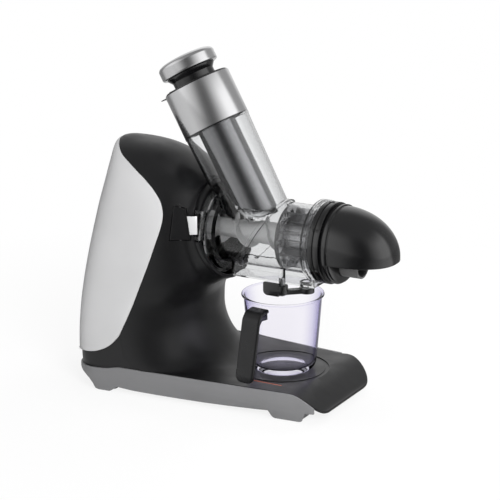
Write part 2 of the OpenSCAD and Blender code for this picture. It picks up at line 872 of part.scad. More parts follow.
module switch_frame() {
  color([0.05, 0.05, 0.05])
    difference() {
      union() {
        translate([flange_x, -switch_w * 0.62, switch_z - switch_h * 0.68])
          cube([frame_t, switch_w * 1.24, switch_h * 1.36]);
        translate([flange_x, -switch_w / 2, switch_z - switch_h / 2])
          cube([switch_d + frame_t, switch_w, switch_h]);
      }
      translate([flange_x - over, -switch_w / 2 + wall_t, switch_z - switch_h / 2 + wall_t * 0.6])
        cube([switch_d, switch_w - 2 * wall_t, switch_h - 1.2 * wall_t]);
    }
}

rocker_w = switch_w - 2 * wall_t - 2 * run_gap;
rocker_h = switch_h - 1.2 * wall_t - 2 * run_gap;
rocker_x = flange_x + rocker_h * 0.45;

module power_rocker() {
  color([0.08, 0.08, 0.08])
    translate([rocker_x, rocker_w / 2, switch_z])
      rotate([90, 0, 0])
        linear_extrude(height = rocker_w)
          intersection() {
            circle(r = rocker_h / 2, $fn = 48);
            polygon([[rocker_h * 0.25, -rocker_h], [-rocker_h * 0.42, -rocker_h * 0.6],
              [-rocker_h * 0.25, 0], [-rocker_h * 0.42, rocker_h * 0.6],
              [rocker_h * 0.25, rocker_h]]);
          }
}

module cord_gland() {
  color([0.06, 0.06, 0.06])
    difference() {
      union() {
        translate([back_x + base_inset * 0.2, 0, gland_z])
          rotate([0, 90, 0])
            cylinder(r = gland_r * 0.8, h = gland_r * 2, $fn = 48);
        translate([back_x + base_inset * 0.2, 0, gland_z])
          rotate([0, 90, 0])
            cylinder(r = gland_r, h = base_inset * 0.4, $fn = 48);
      }
      translate([back_x - over, 0, gland_z])
        rotate([0, 90, 0])
          cylinder(r = gland_r * 0.55, h = gland_r * 1.6, $fn = 48);
    }
}

// Parts: bowl

drum_in_r = drum_r - bowl_t;
bowl_back_x = socket_back_x + socket_l * 0.33;
flange_front_x = face_x + bowl_t * 2.2;
step_front_x = flange_front_x + bowl_t * 2.4;
front_ring_x = bowl_front_x - bowl_t * 3.6;
rear_hole_r = core_r * 1.15;
trough_back_x = face_x + chute_reach * 0.34;
trough_front_x = bowl_front_x - bowl_t * 4.4;
trough_z = bowl_z - drum_r * 1.335;
nozzle_x = face_x + jug_reach * 1.403;
neck_l = nut_l * 0.64;
neck_r = drum_r * 1.045;

module chute_outer() {
  on_chute(0)
    cylinder(r1 = chute_r * 0.92, r2 = chute_r, h = collar_low, $fn = 96);
  on_chute(collar_low - bowl_t * 1.1)
    cylinder(r = chute_r + collar_t * 0.7, h = bowl_t * 1.1, $fn = 96);
  on_chute(collar_low - over)
    cylinder(r = chute_r - collar_t * 0.6, h = collar_high - collar_low - bearing_gap, $fn = 96);
}

module chute_inner() {
  on_chute(0)
    cylinder(r1 = chute_r * 0.92 - bowl_t, r2 = chute_r - bowl_t * 1.1, h = collar_low, $fn = 96);
  on_chute(collar_low - over)
    cylinder(r = chute_r - bowl_t * 1.1, h = collar_high, $fn = 96);
}

// a box with a half round lower side, run along X
module trough_form(x0, x1, half, z_low) {
  translate([x0, 0, z_low + half * 0.6])
    rotate([0, 90, 0])
      linear_extrude(height = x1 - x0)
        intersection() {
          union() {
            circle(r = half, $fn = 64);
            translate([-drum_r, -half])
              square([drum_r, 2 * half]);
          }
          translate([-drum_r * 2, -half])
            square([drum_r * 2 + half * 0.6, 2 * half]);
        }
}

module bowl_outer() {
  on_axis(bowl_back_x)
    cylinder(r = drum_r, h = front_ring_x - bowl_back_x + over, $fn = 96);
  on_axis(bowl_back_x)
    cylinder(r = flange_r, h = flange_front_x - bowl_back_x, $fn = 96);
  on_axis(bowl_back_x)
    cylinder(r = flange_r * 0.93, h = step_front_x - bowl_back_x, $fn = 96);
  on_axis(front_ring_x)
    cylinder(r = front_flange_r, h = bowl_front_x - front_ring_x, $fn = 96);
  on_axis(bowl_front_x - over)
    cylinder(r = neck_r, h = neck_l + over, $fn = 96);
  chute_outer();
  trough_form(trough_back_x, front_ring_x + over, trough_r, trough_z);
  translate([nozzle_x, 0, nozzle_z])
    cylinder(r = nozzle_r, h = drum_r / 2, $fn = 64);
  translate([nozzle_x, 0, nozzle_z + nozzle_r])
    cylinder(r = nozzle_r * 1.35, h = drum_r / 2, $fn = 64);
  translate([lever_x, lever_y, hub_top + run_gap])
    cylinder(r = hub_r * 0.57, h = drum_r * 0.5, $fn = 48);
  wrap_rib();
  bowl_lug();
}

// the raised band that runs aslant round the drum before the chute
module wrap_rib() {
  intersection() {
    on_axis(bowl_back_x + bowl_t)
      tube(drum_r * 1.075, drum_r - over, front_ring_x - bowl_back_x);
    translate([face_x + chute_reach * 0.97, 0, bowl_z])
      rotate([0, 31.6, 0])
        translate([-bowl_t * 0.9, -drum_r * 2, -drum_r * 2])
          cube([bowl_t * 1.8, drum_r * 4, drum_r * 4]);
  }
}

module bowl_lug() {
  ear = lug_half * 0.78;
  on_axis(face_x + bowl_t * 0.2)
    rotate([0, 0, lug_turn])
      translate([flange_r * 0.95, -socket_r * 0.95 * sin(lug_half), 0])
        cube([socket_r * 0.955 - flange_r * 0.95, socket_r * 1.9 * sin(lug_half), bowl_t * 1.7]);
  on_axis(face_x - socket_l * 0.21)
    rotate([0, 0, lug_turn])
      for (s = [-1, 1])
        scale([1, s, 1])
          translate([flange_r * 0.95, socket_r * 0.95 * sin(ear), 0])
            cube([socket_r * 0.955 - flange_r * 0.95, socket_r * 0.95 * (sin(lug_half) - sin(ear)),
              socket_l * 0.22]);
}

module bowl() {
  color([0.80, 0.82, 0.85, 0.35])
    difference() {
      bowl_outer();
      on_axis(bowl_back_x + bowl_t * 1.2)
        cylinder(r = drum_in_r, h = bowl_reach * 2, $fn = 96);
      on_axis(bowl_back_x - over)
        cylinder(r = rear_hole_r, h = bowl_t * 2, $fn = 64);
      on_axis(bowl_back_x - over)
        tube(flange_r - bowl_t, drum_r + bowl_t * 0.8, flange_front_x - bowl_back_x - bowl_t);
      chute_inner();
      trough_form(trough_back_x + bowl_t, front_ring_x - bowl_t, trough_r - bowl_t, trough_z + bowl_t);
      translate([nozzle_x, 0, nozzle_z - over])
        cylinder(r = nozzle_r * 0.7, h = drum_r / 2, $fn = 64);
      translate([lever_x, lever_y, hub_top])
        cylinder(r = lever_pin_r + bearing_gap, h = pin_grip_l, $fn = 48);
      on_axis(front_ring_x + bowl_t * 0.9)
        difference() {
          cylinder(r = front_flange_r * 1.1, h = bowl_t * 0.8, $fn = 96);
          cylinder(r = front_flange_r * 0.97, h = bowl_t * 0.8, $fn = 96);
        }
      front_undercut();
    }
}

// keeps the lower outlet clear of the wall that would close the trough
module front_undercut() {
  translate([nozzle_x, 0, trough_z + bowl_t])
    cylinder(r = nozzle_r * 0.7, h = drum_r, $fn = 64);
}

module chute_collar() {
  color([0.78, 0.78, 0.79])
    on_chute(collar_low)
      tube(chute_r + collar_t * 0.5, chute_r - collar_t * 0.5, collar_high - collar_low);
}

module bowl_gasket() {
  color([0.15, 0.15, 0.16])
    on_axis(bowl_back_x + bowl_t * 0.1)
      tube(flange_r - bowl_t - bearing_gap, flange_r - 2 * bowl_t, bowl_t * 2);
}

module auger_seal() {
  color([0.75, 0.75, 0.72])
    on_axis(bowl_back_x)
      tube(rear_hole_r - bearing_gap, core_r + run_gap * 0.3, bowl_t * 1.2);
}

// Parts: auger and strainer

tail_x = bowl_back_x - bowl_t;
flight_x0 = face_x + chute_reach * 0.28;
flight_x1 = bowl_front_x - bowl_t * 2.5;
journal_r = core_r * 0.5;
hex_r = out_r * 0.72;
hex_l = socket_l * 0.42;

module auger() {
  color([0.72, 0.72, 0.72])
    difference() {
      union() {
        on_axis(tail_x)
          cylinder(r = core_r, h = flight_x0 - tail_x + over, $fn = 64);
        on_axis(flight_x0)
          cylinder(r1 = core_r, r2 = auger_r * 0.86, h = flight_x1 - flight_x0, $fn = 64);
        on_axis(flight_x1 - over)
          cylinder(r = journal_r, h = journal_l + over, $fn = 48);
        on_axis(bowl_back_x + bowl_t * 2.4)
          cylinder(r1 = core_r * 1.05, r2 = core_r * 1.6, h = bowl_t, $fn = 64);
        on_axis(bowl_back_x + bowl_t * 3.4)
          cylinder(r = core_r * 1.6, h = bowl_t, $fn = 64);
        on_axis(flight_x0 - auger_r)
          linear_extrude(height = flight_x1 - flight_x0 + auger_r, twist = -360 * flight_turns,
            slices = 84, convexity = 4)
            polygon([[core_r * 0.5, -flight_t * 0.9], [core_r, -flight_t * 0.75],
              [auger_r * 0.985, -flight_t * 0.42], [auger_r, 0], [auger_r * 0.985, flight_t * 0.42],
              [core_r, flight_t * 0.75], [core_r * 0.5, flight_t * 0.9]]);
      }
      on_axis(tail_x - over)
        cylinder(r = hex_r + run_gap * 0.5, h = hex_l + over, $fn = 6);
    }
}

journal_l = neck_l + bowl_t * 3;

screen_x0 = face_x + chute_reach * 1.49;
screen_x1 = bowl_front_x - bowl_t * 1.2;

module strainer() {
  color([0.72, 0.72, 0.73])
    difference() {
      on_axis(screen_x0)
        tube(strainer_r + strainer_t, strainer_r, screen_x1 - screen_x0);
      for (a = [0 : 24 : 359], k = [0 : 4])
        on_axis(screen_x0 + bowl_t * 1.6 + k * (screen_x1 - screen_x0 - bowl_t * 3) / 5)
          rotate([0, 0, a])
            translate([strainer_r - strainer_t, -strainer_t * 0.35, 0])
              cube([strainer_t * 3, strainer_t * 0.7, (screen_x1 - screen_x0) * 0.12]);
    }
}

module strainer_cage() {
  color([0.78, 0.78, 0.78])
    difference() {
      union() {
        for (x = [screen_x0, screen_x1 - bowl_t * 1.4])
          on_axis(x)
            tube(cage_r, strainer_r + strainer_t + bearing_gap, bowl_t * 1.4);
        for (a = [22.5 : 45 : 359])
          on_axis(screen_x0 + over)
            rotate([0, 0, a])
              translate([strainer_r + strainer_t + bearing_gap, -bowl_t * 0.45, 0])
                cube([cage_r - strainer_r - strainer_t - bowl_t, bowl_t * 0.9,
                  screen_x1 - screen_x0 - 2 * over]);
      }
      for (x = [screen_x0, screen_x1 - bowl_t * 1.4], a = [0 : 45 : 359])
        on_axis(x - over)
          rotate([0, 0, a])
            translate([(cage_r + strainer_r) / 2, 0, 0])
              cylinder(r = bowl_t * 1.3, h = bowl_t * 2, $fn = 24);
    }
}

module auger_bush() {
  color([0.8, 0.78, 0.7])
    on_axis(bowl_front_x + neck_l * 0.2)
      tube(journal_r + bowl_t * 0.8, journal_r + bearing_gap, bowl_t * 3);
}

// Parts: nut, hood, spout

nut_lip_x = nut_front_x - bowl_t;
hood_plate_x = bowl_front_x + neck_l + run_gap * 0.5;

module front_nut() {
  color([0.05, 0.05, 0.055])
    difference() {
      union() {
        on_axis(bowl_front_x + run_gap)
          cylinder(r = nut_r, h = nut_l - 2 * run_gap, $fn = 96);
        for (a = [0 : 60 : 359])
          on_axis(bowl_front_x + nut_l * 0.3)
            rotate([0, 0, a])
              translate([nut_r * 0.985, 0, 0])
                cylinder(r = nut_r * 0.03, h = nut_l * 0.5, $fn = 24);
      }
      on_axis(bowl_front_x - over)
        cylinder(r = neck_r + run_gap, h = nut_lip_x - bowl_front_x - run_gap + over, $fn = 96);
      on_axis(bowl_front_x)
        cylinder(r = hood_neck_r + run_gap, h = nut_l * 2, $fn = 96);
      on_axis(bowl_front_x + nut_l * 0.42)
        difference() {
          cylinder(r = nut_r * 1.1, h = nut_l * 0.12, $fn = 96);
          cylinder(r = nut_r * 0.965, h = nut_l * 0.12, $fn = 96);
        }
    }
}

hood_neck_r = neck_r * 0.93;

module nut_seal() {
  color([0.2, 0.2, 0.2])
    on_axis(bowl_front_x + neck_l)
      tube(neck_r - bowl_t, neck_r - 2 * bowl_t, hood_seat_l * 0.6);
}

hood_seat_l = nut_lip_x - 2 * run_gap - hood_plate_x;

module pulp_hood() {
  color([0.04, 0.04, 0.045])
    difference() {
      union() {
        on_axis(hood_plate_x)
          cylinder(r = neck_r - run_gap, h = hood_seat_l, $fn = 96);
        on_axis(hood_plate_x)
          cylinder(r = hood_neck_r, h = nut_front_x + run_gap - hood_plate_x + over, $fn = 96);
        on_axis(nut_front_x + run_gap)
          cylinder(r = hood_r, h = hood_flange_l, $fn = 96);
        on_axis(nut_front_x + hood_flange_l * 0.52)
          cylinder(r = hood_r * 1.035, h = hood_flange_l * 0.26, $fn = 96);
        difference() {
          hood_form(0);
          hood_form(hood_t);
          translate([back_x, -wide, 0])
            cube([dome_x - back_x - hood_t, 2 * wide, body_top_z]);
        }
      }
      hood_inside();
      on_axis(bowl_front_x + neck_l - over)
        tube(neck_r - bowl_t + bearing_gap, neck_r - 2 * bowl_t - bearing_gap, hood_seat_l * 0.6 + over);
    }
}

module hood_inside() {
  difference() {
    union() {
      on_axis(hood_plate_x + hood_seat_l + over)
        cylinder(r = hood_neck_r - hood_t, h = dome_x - hood_plate_x - hood_seat_l - hood_t, $fn = 96);
      on_axis(hood_plate_x - over)
        cylinder(r = strainer_r, h = hood_seat_l * 3, $fn = 64);
      translate([nut_front_x, 0, spout_z])
        rotate([0, 90, 0])
          cylinder(r = spout_r - hood_t * 0.9, h = hood_flange_l * 2, $fn = 64);
    }
    bush_holder();
  }
}

// three arms that carry the bush of the auger's journal
module bush_holder() {
  on_axis(hood_plate_x)
    tube(journal_r + bowl_t * 2, journal_r + bowl_t * 0.8 + bearing_gap, bowl_t * 1.6);
  for (a = [60 : 120 : 359])
    on_axis(hood_plate_x)
      rotate([0, 0, a])
        translate([journal_r + bowl_t * 1.2, -bowl_t * 0.6, 0])
          cube([strainer_r, bowl_t * 1.2, bowl_t * 1.6]);
}

hood_rim_z = bowl_z - hood_r * 0.33;
hood_side_share = 0.43;

// half of a dome that is open below, moved in by inset
module hood_form(inset) {
  steps = 14;
  around = 24;
  l = tip_x - dome_x;
  xs = concat([-0.02], [for (i = [0 : steps]) 1 - pow(1 - i / steps, 1.7)]);
  function edge(u, p) = pow(max(1 - pow(min(max(u, 0), 1), p), 0), 1 / p);
  rows = [for (u = xs)
    let(w = max((hood_r - inset) * edge(u, 2.35), hood_t * 0.15),
      side = bowl_z - hood_r * (0.0 + 0.24 * max(u, 0)),
      up = max((hood_r + (bowl_z - side) * 0.62 - inset) * edge(u, 2.05), hood_t * 0.15),
      x = dome_x + u * (l - inset))
    concat([[x, -w, hood_low(inset)]],
      [for (k = [0 : around]) let(a = 180 * k / around)
        [x, -w * cos(a), side + up * sin(a)]],
      [[x, w, hood_low(inset)]])];
  n = around + 3;
  points = [for (r = rows) each r];
  m = len(rows);
  skins = [for (k = [0 : m - 2]) for (i = [0 : n - 2])
    let(b = k * n + i, t = b + n) each [[b, b + 1, t + 1], [b, t + 1, t]]];
  under = [for (k = [0 : m - 2]) let(b = k * n, t = b + n)
    each [[b + n - 1, b, t], [b + n - 1, t, t + n - 1]]];
  back = [[for (i = [n - 1 : -1 : 0]) i]];
  front = [[for (i = [0 : n - 1]) (m - 1) * n + i]];
  polyhedron(points = points, faces = concat(skins, under, back, front), convexity = 6);
}

function hood_low(inset) = hood_rim_z - (inset > 0 ? over * 2 : 0);

module pulp_spout() {
  color([0.35, 0.35, 0.36])
    difference() {
      translate([dome_x - hood_t * 0.5, 0, spout_z])
        rotate([0, 90, 0])
          tube(spout_r, spout_r - hood_t, hood_r * 0.55);
      on_axis(nut_front_x)
        cylinder(r = hood_r, h = hood_flange_l + run_gap * 1.1, $fn = 96);
    }
}

// Parts: drip lever

lever_x = face_x + jug_reach * 1.124;
lever_y = -jug_r * 0.4;
hub_low = nozzle_z - nozzle_r * 0.8;
hub_top = trough_z - run_gap;
pin_grip_l = hub_r * 1.3;
cap_z = nozzle_z - run_gap;

module drip_lever() {
  color([0.07, 0.07, 0.075])
    difference() {
      union() {
        translate([lever_x, lever_y, hub_low])
          cylinder(r = hub_r, h = hub_top - hub_low, $fn = 48);
        translate([lever_x - hub_r * 3.1, lever_y - hub_r * 0.9, hub_low - lever_t * 0.5])
          paddle();
        translate([nozzle_x, 0, hub_low])
          cylinder(r = nozzle_r * 1.15, h = cap_z - hub_low, $fn = 64);
        lever_arm();
      }
      translate([lever_x, lever_y, hub_low - over])
        cylinder(r = lever_pin_r + bearing_gap, h = hub_r * 4, $fn = 48);
      translate([nozzle_x, 0, cap_z - lever_t * 0.4])
        cylinder(r = nozzle_r + bearing_gap, h = lever_t, $fn = 64);
    }
}

module paddle() {
  w = hub_r * 3;
  h = hub_r * 2.3;
  translate([0, lever_t / 2, 0])
    rotate([90, 0, 0])
      linear_extrude(height = lever_t)
        polygon(rounded([[0, 0], [w, 0], [w, h], [0, h]],
          [h * 0.35, 0, 0, h * 0.12]));
}

module lever_arm() {
  dx = nozzle_x - lever_x;
  dy = -lever_y;
  translate([lever_x, lever_y, hub_low])
    rotate([0, 0, atan2(dy, dx)])
      translate([0, -hub_r * 0.75, 0])
        cube([norm([dx, dy]), hub_r * 1.5, (cap_z - hub_low) * 0.85]);
}

module lever_pin() {
  color([0.7, 0.7, 0.72]) {
    translate([lever_x, lever_y, hub_low - run_gap - lever_t * 0.4])
      cylinder(r = lever_pin_r * 1.5, h = lever_t * 0.4, $fn = 48);
    translate([lever_x, lever_y, hub_low - run_gap - lever_t * 0.4])
      cylinder(r = lever_pin_r, h = hub_top - hub_low + pin_grip_l * 0.95, $fn = 48);
  }
}

module lever_plug() {
  color([0.45, 0.45, 0.46])
    translate([nozzle_x, 0, cap_z - lever_t * 0.4])
      cylinder(r = nozzle_r, h = lever_t * 0.38, $fn = 64);
}

// Parts: lid and pusher

module chute_lid() {
  color([0.06, 0.06, 0.065])
    on_chute(collar_high + run_gap * 0.4)
      difference() {
        union() {
          cylinder(r = chute_r * 0.985, h = lid_t * 0.5, $fn = 96);
          translate([0, 0, lid_t * 0.5 - over * 0.1])
            cylinder(r = chute_r * 0.955, h = lid_t * 0.5, $fn = 96);
          translate([0, 0, -bowl_t * 2.2])
            tube(chute_r - bowl_t * 1.1 - run_gap, chute_r - bowl_t * 2.1, bowl_t * 2.2 + over * 0.1);
          translate([-chute_r * 1.3, -chute_r * 0.16, 0])
            cube([chute_r * 0.5, chute_r * 0.32, lid_t * 0.5]);
          translate([-chute_r * 0.93, -chute_r * 0.13, 0])
            cube([chute_r * 0.12, chute_r * 0.26, lid_t * 2.6]);
        }
        translate([0, 0, -chute_r])
          cylinder(r = pusher_r + lid_gap, h = 2 * chute_r, $fn = 96);
      }
}

tip_drop = bowl_z + auger_r + bowl_t * 0.95;
cut_z = bowl_z + auger_r * 1.715;
neck_s = collar_high + lid_t + run_gap * 1.4;
neck_l2 = knob_t * 0.68;

// keeps what is over a nearly level line through the lower end of the pusher
module over_cut(z0, lean) {
  translate([face_x + chute_reach - chute_r * 0.5, 0, z0])
    rotate([0, lean, 0])
      translate([-wide, -wide, 0])
        cube([2 * wide, 2 * wide, 2 * wide]);
}

module pusher_tube() {
  color([0.75, 0.75, 0.76])
    difference() {
      intersection() {
        on_chute(0)
          cylinder(r = pusher_r, h = neck_s, $fn = 96);
        over_cut(cut_z, 4);
      }
      on_chute(-over)
        cylinder(r = pusher_r - bowl_t * 0.5, h = neck_s * 2, $fn = 96);
    }
}

module pusher_tip() {
  color([0.82, 0.84, 0.86, 0.5])
    difference() {
      intersection() {
        on_chute(0)
          cylinder(r = pusher_r - bowl_t * 0.5 - bearing_gap, h = neck_s, $fn = 96);
        over_cut(tip_drop, 0);
        over_cut(tip_drop + bowl_t * 0.6, 24);
        over_cut(tip_drop - bowl_t * 1.6, -14);
      }
      on_chute(cut_s + bowl_t)
        cylinder(r = pusher_r * 2, h = neck_s * 2, $fn = 64);
    }
}

cut_s = (cut_z - bowl_z) / cos(chute_lean) + pusher_r * 0.72;

module pusher_neck() {
  color([0.05, 0.05, 0.055])
    on_chute(neck_s) {
      cylinder(r = pusher_r * 1.085, h = neck_l2 * 0.55, $fn = 96);
      translate([0, 0, neck_l2 * 0.55 - over * 0.1])
        cylinder(r1 = pusher_r * 1.085, r2 = pusher_r * 1.29, h = neck_l2 * 0.45 + over * 0.1, $fn = 96);
      translate([0, 0, -bowl_t * 2])
        cylinder(r = pusher_r - bowl_t * 0.5 - bearing_gap, h = bowl_t * 2 + over, $fn = 96);
    }
}

module pusher_knob() {
  h = knob_t;
  r = knob_r;
  dome_pts = concat([[0, 0], [r * 0.97, 0], [r, h * 0.05]],
    [for (i = [0 : 10]) let(a = 90 * i / 10)
      [r * 0.93 + r * 0.07 * cos(a), h * 0.66 + h * 0.13 * sin(a)]],
    [for (i = [1 : 8]) [r * 0.93 * (1 - i / 8), h * (1 - 0.21 * pow(1 - i / 8, 2.2))]]);
  color([0.78, 0.78, 0.79])
    on_chute(neck_s + neck_l2)
      rotate_extrude($fn = 128)
        polygon(dome_pts);
}

// Parts: jug

jug_z = deck_z + run_gap;
jug_h = jug_rim_z - jug_z;

function jug_profile() =
  let(h = jug_h, r = jug_foot_r, s = jug_r - jug_foot_r)
  concat([[0, h * 0.012], [r * 0.62, h * 0.012], [r * 0.66, 0], [r * 0.74, 0]],
    [for (i = [0 : 8]) let(a = 90 * i / 8)
      [r * 0.76 + r * 0.24 * sin(a), h * 0.125 * (1 - cos(a))]],
    [[r + s * 0.2, h * 0.35], [r + s * 0.62, h * 0.85], [r + s * 0.72, h * 0.955],
      [jug_r, h * 0.972], [jug_r, h * 0.99], [jug_r - jug_t * 0.2, h]]);

function jug_cavity() =
  let(h = jug_h, r = jug_foot_r, s = jug_r - jug_foot_r, t = jug_t)
  concat([[0, h * 0.068]],
    [for (i = [0 : 8]) let(a = 90 * i / 8)
      [r * 0.76 + (r * 0.24 - t) * sin(a), h * 0.068 + (h * 0.125 - t * 0.8) * (1 - cos(a))]],
    [[r + s * 0.2 - t, h * 0.35], [r + s * 0.62 - t, h * 0.85], [r + s * 0.75 - t, h * 0.97],
      [r + s * 0.8 - t, h * 1.05], [0, h * 1.05]]);

// the band of the handle in its own plane: distance from the jug's axis, height
grip_inner_shares = [[0.90, 0.79], [1.17, 0.80], [1.265, 0.755], [1.50, 0.095], [1.58, 0.060]];
grip_mid_shares = [[0.90, 0.880], [1.21, 0.865], [1.31, 0.79], [1.56, 0.095], [1.60, 0.060]];
grip_outer_shares = [[0.90, 0.930], [1.24, 0.915], [1.37, 0.835], [1.68, 0.115], [1.68, 0.050]];

function grip_points(shares) = [for (p = shares) [p[0] * jug_r, p[1] * jug_h]];

module grip_band(a, b, w) {
  rev = [for (i = [len(b) - 1 : -1 : 0]) b[i]];
  rotate([0, 0, grip_turn])
    translate([0, w / 2, 0])
      rotate([90, 0, 0])
        linear_extrude(height = w)
          polygon(concat(grip_points(a), grip_points(rev)));
}

module jug() {
  color([0.86, 0.86, 0.92, 0.3])
    translate([jug_x, 0, jug_z])
      difference() {
        union() {
          rotate_extrude($fn = 128)
            polygon(jug_profile());
          grip_band(grip_inner_shares, grip_mid_shares, grip_w * 0.82);
        }
        rotate_extrude($fn = 128)
          polygon(jug_cavity());
      }
}

module jug_grip() {
  color([0.05, 0.05, 0.055])
    translate([jug_x, 0, jug_z])
      difference() {
        grip_band(grip_mid_shares, grip_outer_shares, grip_w);
        translate([0, 0, -over])
          cylinder(r = jug_r * 0.955, h = jug_h * 2, $fn = 128);
      }
}

// Parts: drive

out_teeth = 54;
small_teeth = 12;
lay_teeth = 60;
slow_d = slow_module * (out_teeth + small_teeth) / 2;
fast_d = fast_module * (lay_teeth + small_teeth) / 2;
lay_z = bowl_z - slow_d;
motor_z = lay_z - fast_d;
case_front_x = socket_back_x - wall_t;
case_l = gear_w * 3;
case_back_x = case_front_x - case_l;
out_gear_x = case_front_x - case_t - gear_w * 1.6;
lay_gear_x = case_back_x + gear_w * 0.52;

// a spur gear with straight flanks, a tooth on local +X when turn is zero
function gear_points(teeth, m, turn) =
  let(rp = teeth * m / 2, ra = rp + m * 0.9, rf = rp - m * 1.25, p = 360 / teeth,
    wa = p * 0.095, wp = p * 0.19, wf = p * 0.27)
  [for (i = [0 : teeth - 1], q = [[-wf, rf], [-wp, rp], [-wa, ra], [wa, ra], [wp, rp], [wf, rf]])
    let(a = turn + i * p + q[0]) [q[1] * cos(a), q[1] * sin(a)]];

module gear_at(x, z, teeth, m, turn, w, bore) {
  translate([x, 0, z])
    rotate([0, 90, 0])
      difference() {
        linear_extrude(height = w)
          polygon(gear_points(teeth, m, turn));
        translate([0, 0, -over])
          cylinder(r = bore, h = w + 2 * over, $fn = 48);
      }
}

module rod_x(x0, x1, z, r) {
  translate([x0, 0, z])
    rotate([0, 90, 0])
      cylinder(r = r, h = x1 - x0, $fn = 64);
}

module output_gear() {
  color([0.85, 0.82, 0.72])
    gear_at(out_gear_x, bowl_z, out_teeth, slow_module, 0, gear_w, out_r);
}

module output_shaft() {
  color([0.68, 0.68, 0.70]) {
    rod_x(case_back_x + bearing_gap, socket_back_x + socket_l * 0.12, bowl_z, out_r);
    on_axis(socket_back_x + socket_l * 0.12 - over)
      cylinder(r = hex_r, h = socket_l * 0.5, $fn = 6);
  }
}

module lay_pinion() {
  color([0.62, 0.62, 0.64])
    gear_at(out_gear_x, lay_z, small_teeth, slow_module, 180 / small_teeth, gear_w + over, lay_r);
}

module lay_gear() {
  color([0.85, 0.82, 0.72])
    gear_at(lay_gear_x, lay_z, lay_teeth, fast_module, 0, gear_w * 0.6, lay_r);
}

module lay_shaft() {
  color([0.68, 0.68, 0.70])
    rod_x(case_back_x + bearing_gap, case_front_x - case_t - bearing_gap, lay_z, lay_r);
}

module motor_pinion() {
  color([0.62, 0.62, 0.64])
    gear_at(lay_gear_x - over, motor_z, small_teeth, fast_module, 180 / small_teeth, gear_w * 0.6 + 2 * over,
      motor_r);
}

function case_form(grow) = [
  [bowl_z, out_teeth * slow_module / 2 + slow_module * 2 + grow],
  [lay_z, lay_teeth * fast_module / 2 + fast_module * 3 + grow],
  [motor_z, small_teeth * fast_module + fast_module * 2 + grow]];

module case_solid(x, l, grow) {
  for (c = case_form(grow))
    translate([x, 0, c[0]])
      rotate([0, 90, 0])
        cylinder(r = c[1], h = l, $fn = 96);
}

bearing_w = gear_w * 0.45;

module gear_case() {
  color([0.30, 0.30, 0.31])
    difference() {
      union() {
        case_solid(case_back_x, case_l, case_t);
        case_ears(case_back_x, case_l);
      }
      case_solid(case_back_x - over, case_l - case_t + over, 0);
      rod_x(case_front_x - 2 * case_t, case_front_x + over, bowl_z, out_r * 1.5);
      case_screw_ways(case_back_x - over, case_l * 0.5);
    }
}

ear_d = out_teeth * slow_module / 2 * 0.86;

// four ears for the screws of the cover
module case_ears(x, l) {
  for (s = [-1, 1], z = [bowl_z + ear_d, motor_z + ear_d * 0.3])
    translate([x, s * (z > bowl_z ? ear_d : ear_d * 0.72), z])
      rotate([0, 90, 0])
        cylinder(r = case_t * 2, h = l, $fn = 32);
}

module case_screw_ways(x, l) {
  for (s = [-1, 1], z = [bowl_z + ear_d, motor_z + ear_d * 0.3])
    translate([x, s * (z > bowl_z ? ear_d : ear_d * 0.72), z])
      rotate([0, 90, 0])
        cylinder(r = screw_r + bearing_gap, h = l, $fn = 32);
}

module gear_cover() {
  color([0.33, 0.33, 0.34])
    difference() {
      union() {
        case_solid(case_back_x - case_t, case_t, case_t);
        case_ears(case_back_x - case_t, case_t);
        rod_x(case_back_x - case_t, case_back_x + bearing_w, bowl_z, out_r * 2.2);
        rod_x(case_back_x - case_t, case_back_x + bearing_w, lay_z, lay_r * 2.4);
      }
      rod_x(case_back_x, case_back_x + 2 * bearing_w, bowl_z, out_r * 1.75);
      rod_x(case_back_x, case_back_x + 2 * bearing_w, lay_z, lay_r * 1.9);
      rod_x(case_back_x - 2 * case_t, case_back_x + case_t, motor_z, small_teeth * fast_module * 0.75);
      case_screw_ways(case_back_x - 2 * case_t, case_l);
    }
}

module cover_screws() {
  color([0.6, 0.6, 0.62])
    for (s = [-1, 1], z = [bowl_z + ear_d, motor_z + ear_d * 0.3])
      translate([case_back_x - case_t, s * (z > bowl_z ? ear_d : ear_d * 0.72), z])
        rotate([0, 90, 0]) {
          cylinder(r = screw_r, h = case_l * 0.4, $fn = 32);
          translate([0, 0, -case_t * 0.5])
            cylinder(r = screw_r * 1.8, h = case_t * 0.5, $fn = 32);
        }
}

module bearing(x, z, r_in, r_out) {
  translate([x, 0, z])
    rotate([0, 90, 0])
      tube(r_out, r_in + bearing_gap, bearing_w - bearing_gap);
}

module shaft_bearings() {
  color([0.7, 0.7, 0.72]) {
    bearing(case_back_x, bowl_z, out_r, out_r * 1.75 - bearing_gap);
    bearing(case_back_x, lay_z, lay_r, lay_r * 1.9 - bearing_gap);
    translate([case_front_x - case_t * 0.98, 0, bowl_z])
      rotate([0, 90, 0])
        tube(out_r * 1.5 - bearing_gap, out_r + bearing_gap, case_t * 0.98);
    bearing(case_front_x - case_t - bearing_w, lay_z, lay_r, lay_r * 1.9);
  }
}

module shaft_seal() {
  color([0.12, 0.12, 0.12])
    on_axis(socket_back_x - wall_t)
      tube(out_r * 1.9 - bearing_gap, out_r + run_gap * 0.4, wall_t);
}

// Parts: motor

stator_x1 = case_back_x - case_t - gear_w * 1.15;
stator_x0 = stator_x1 - stator_l;
bracket_front_x = case_back_x - 2 * case_t - screw_r;
bracket_rear_x = stator_x0 - gear_w;

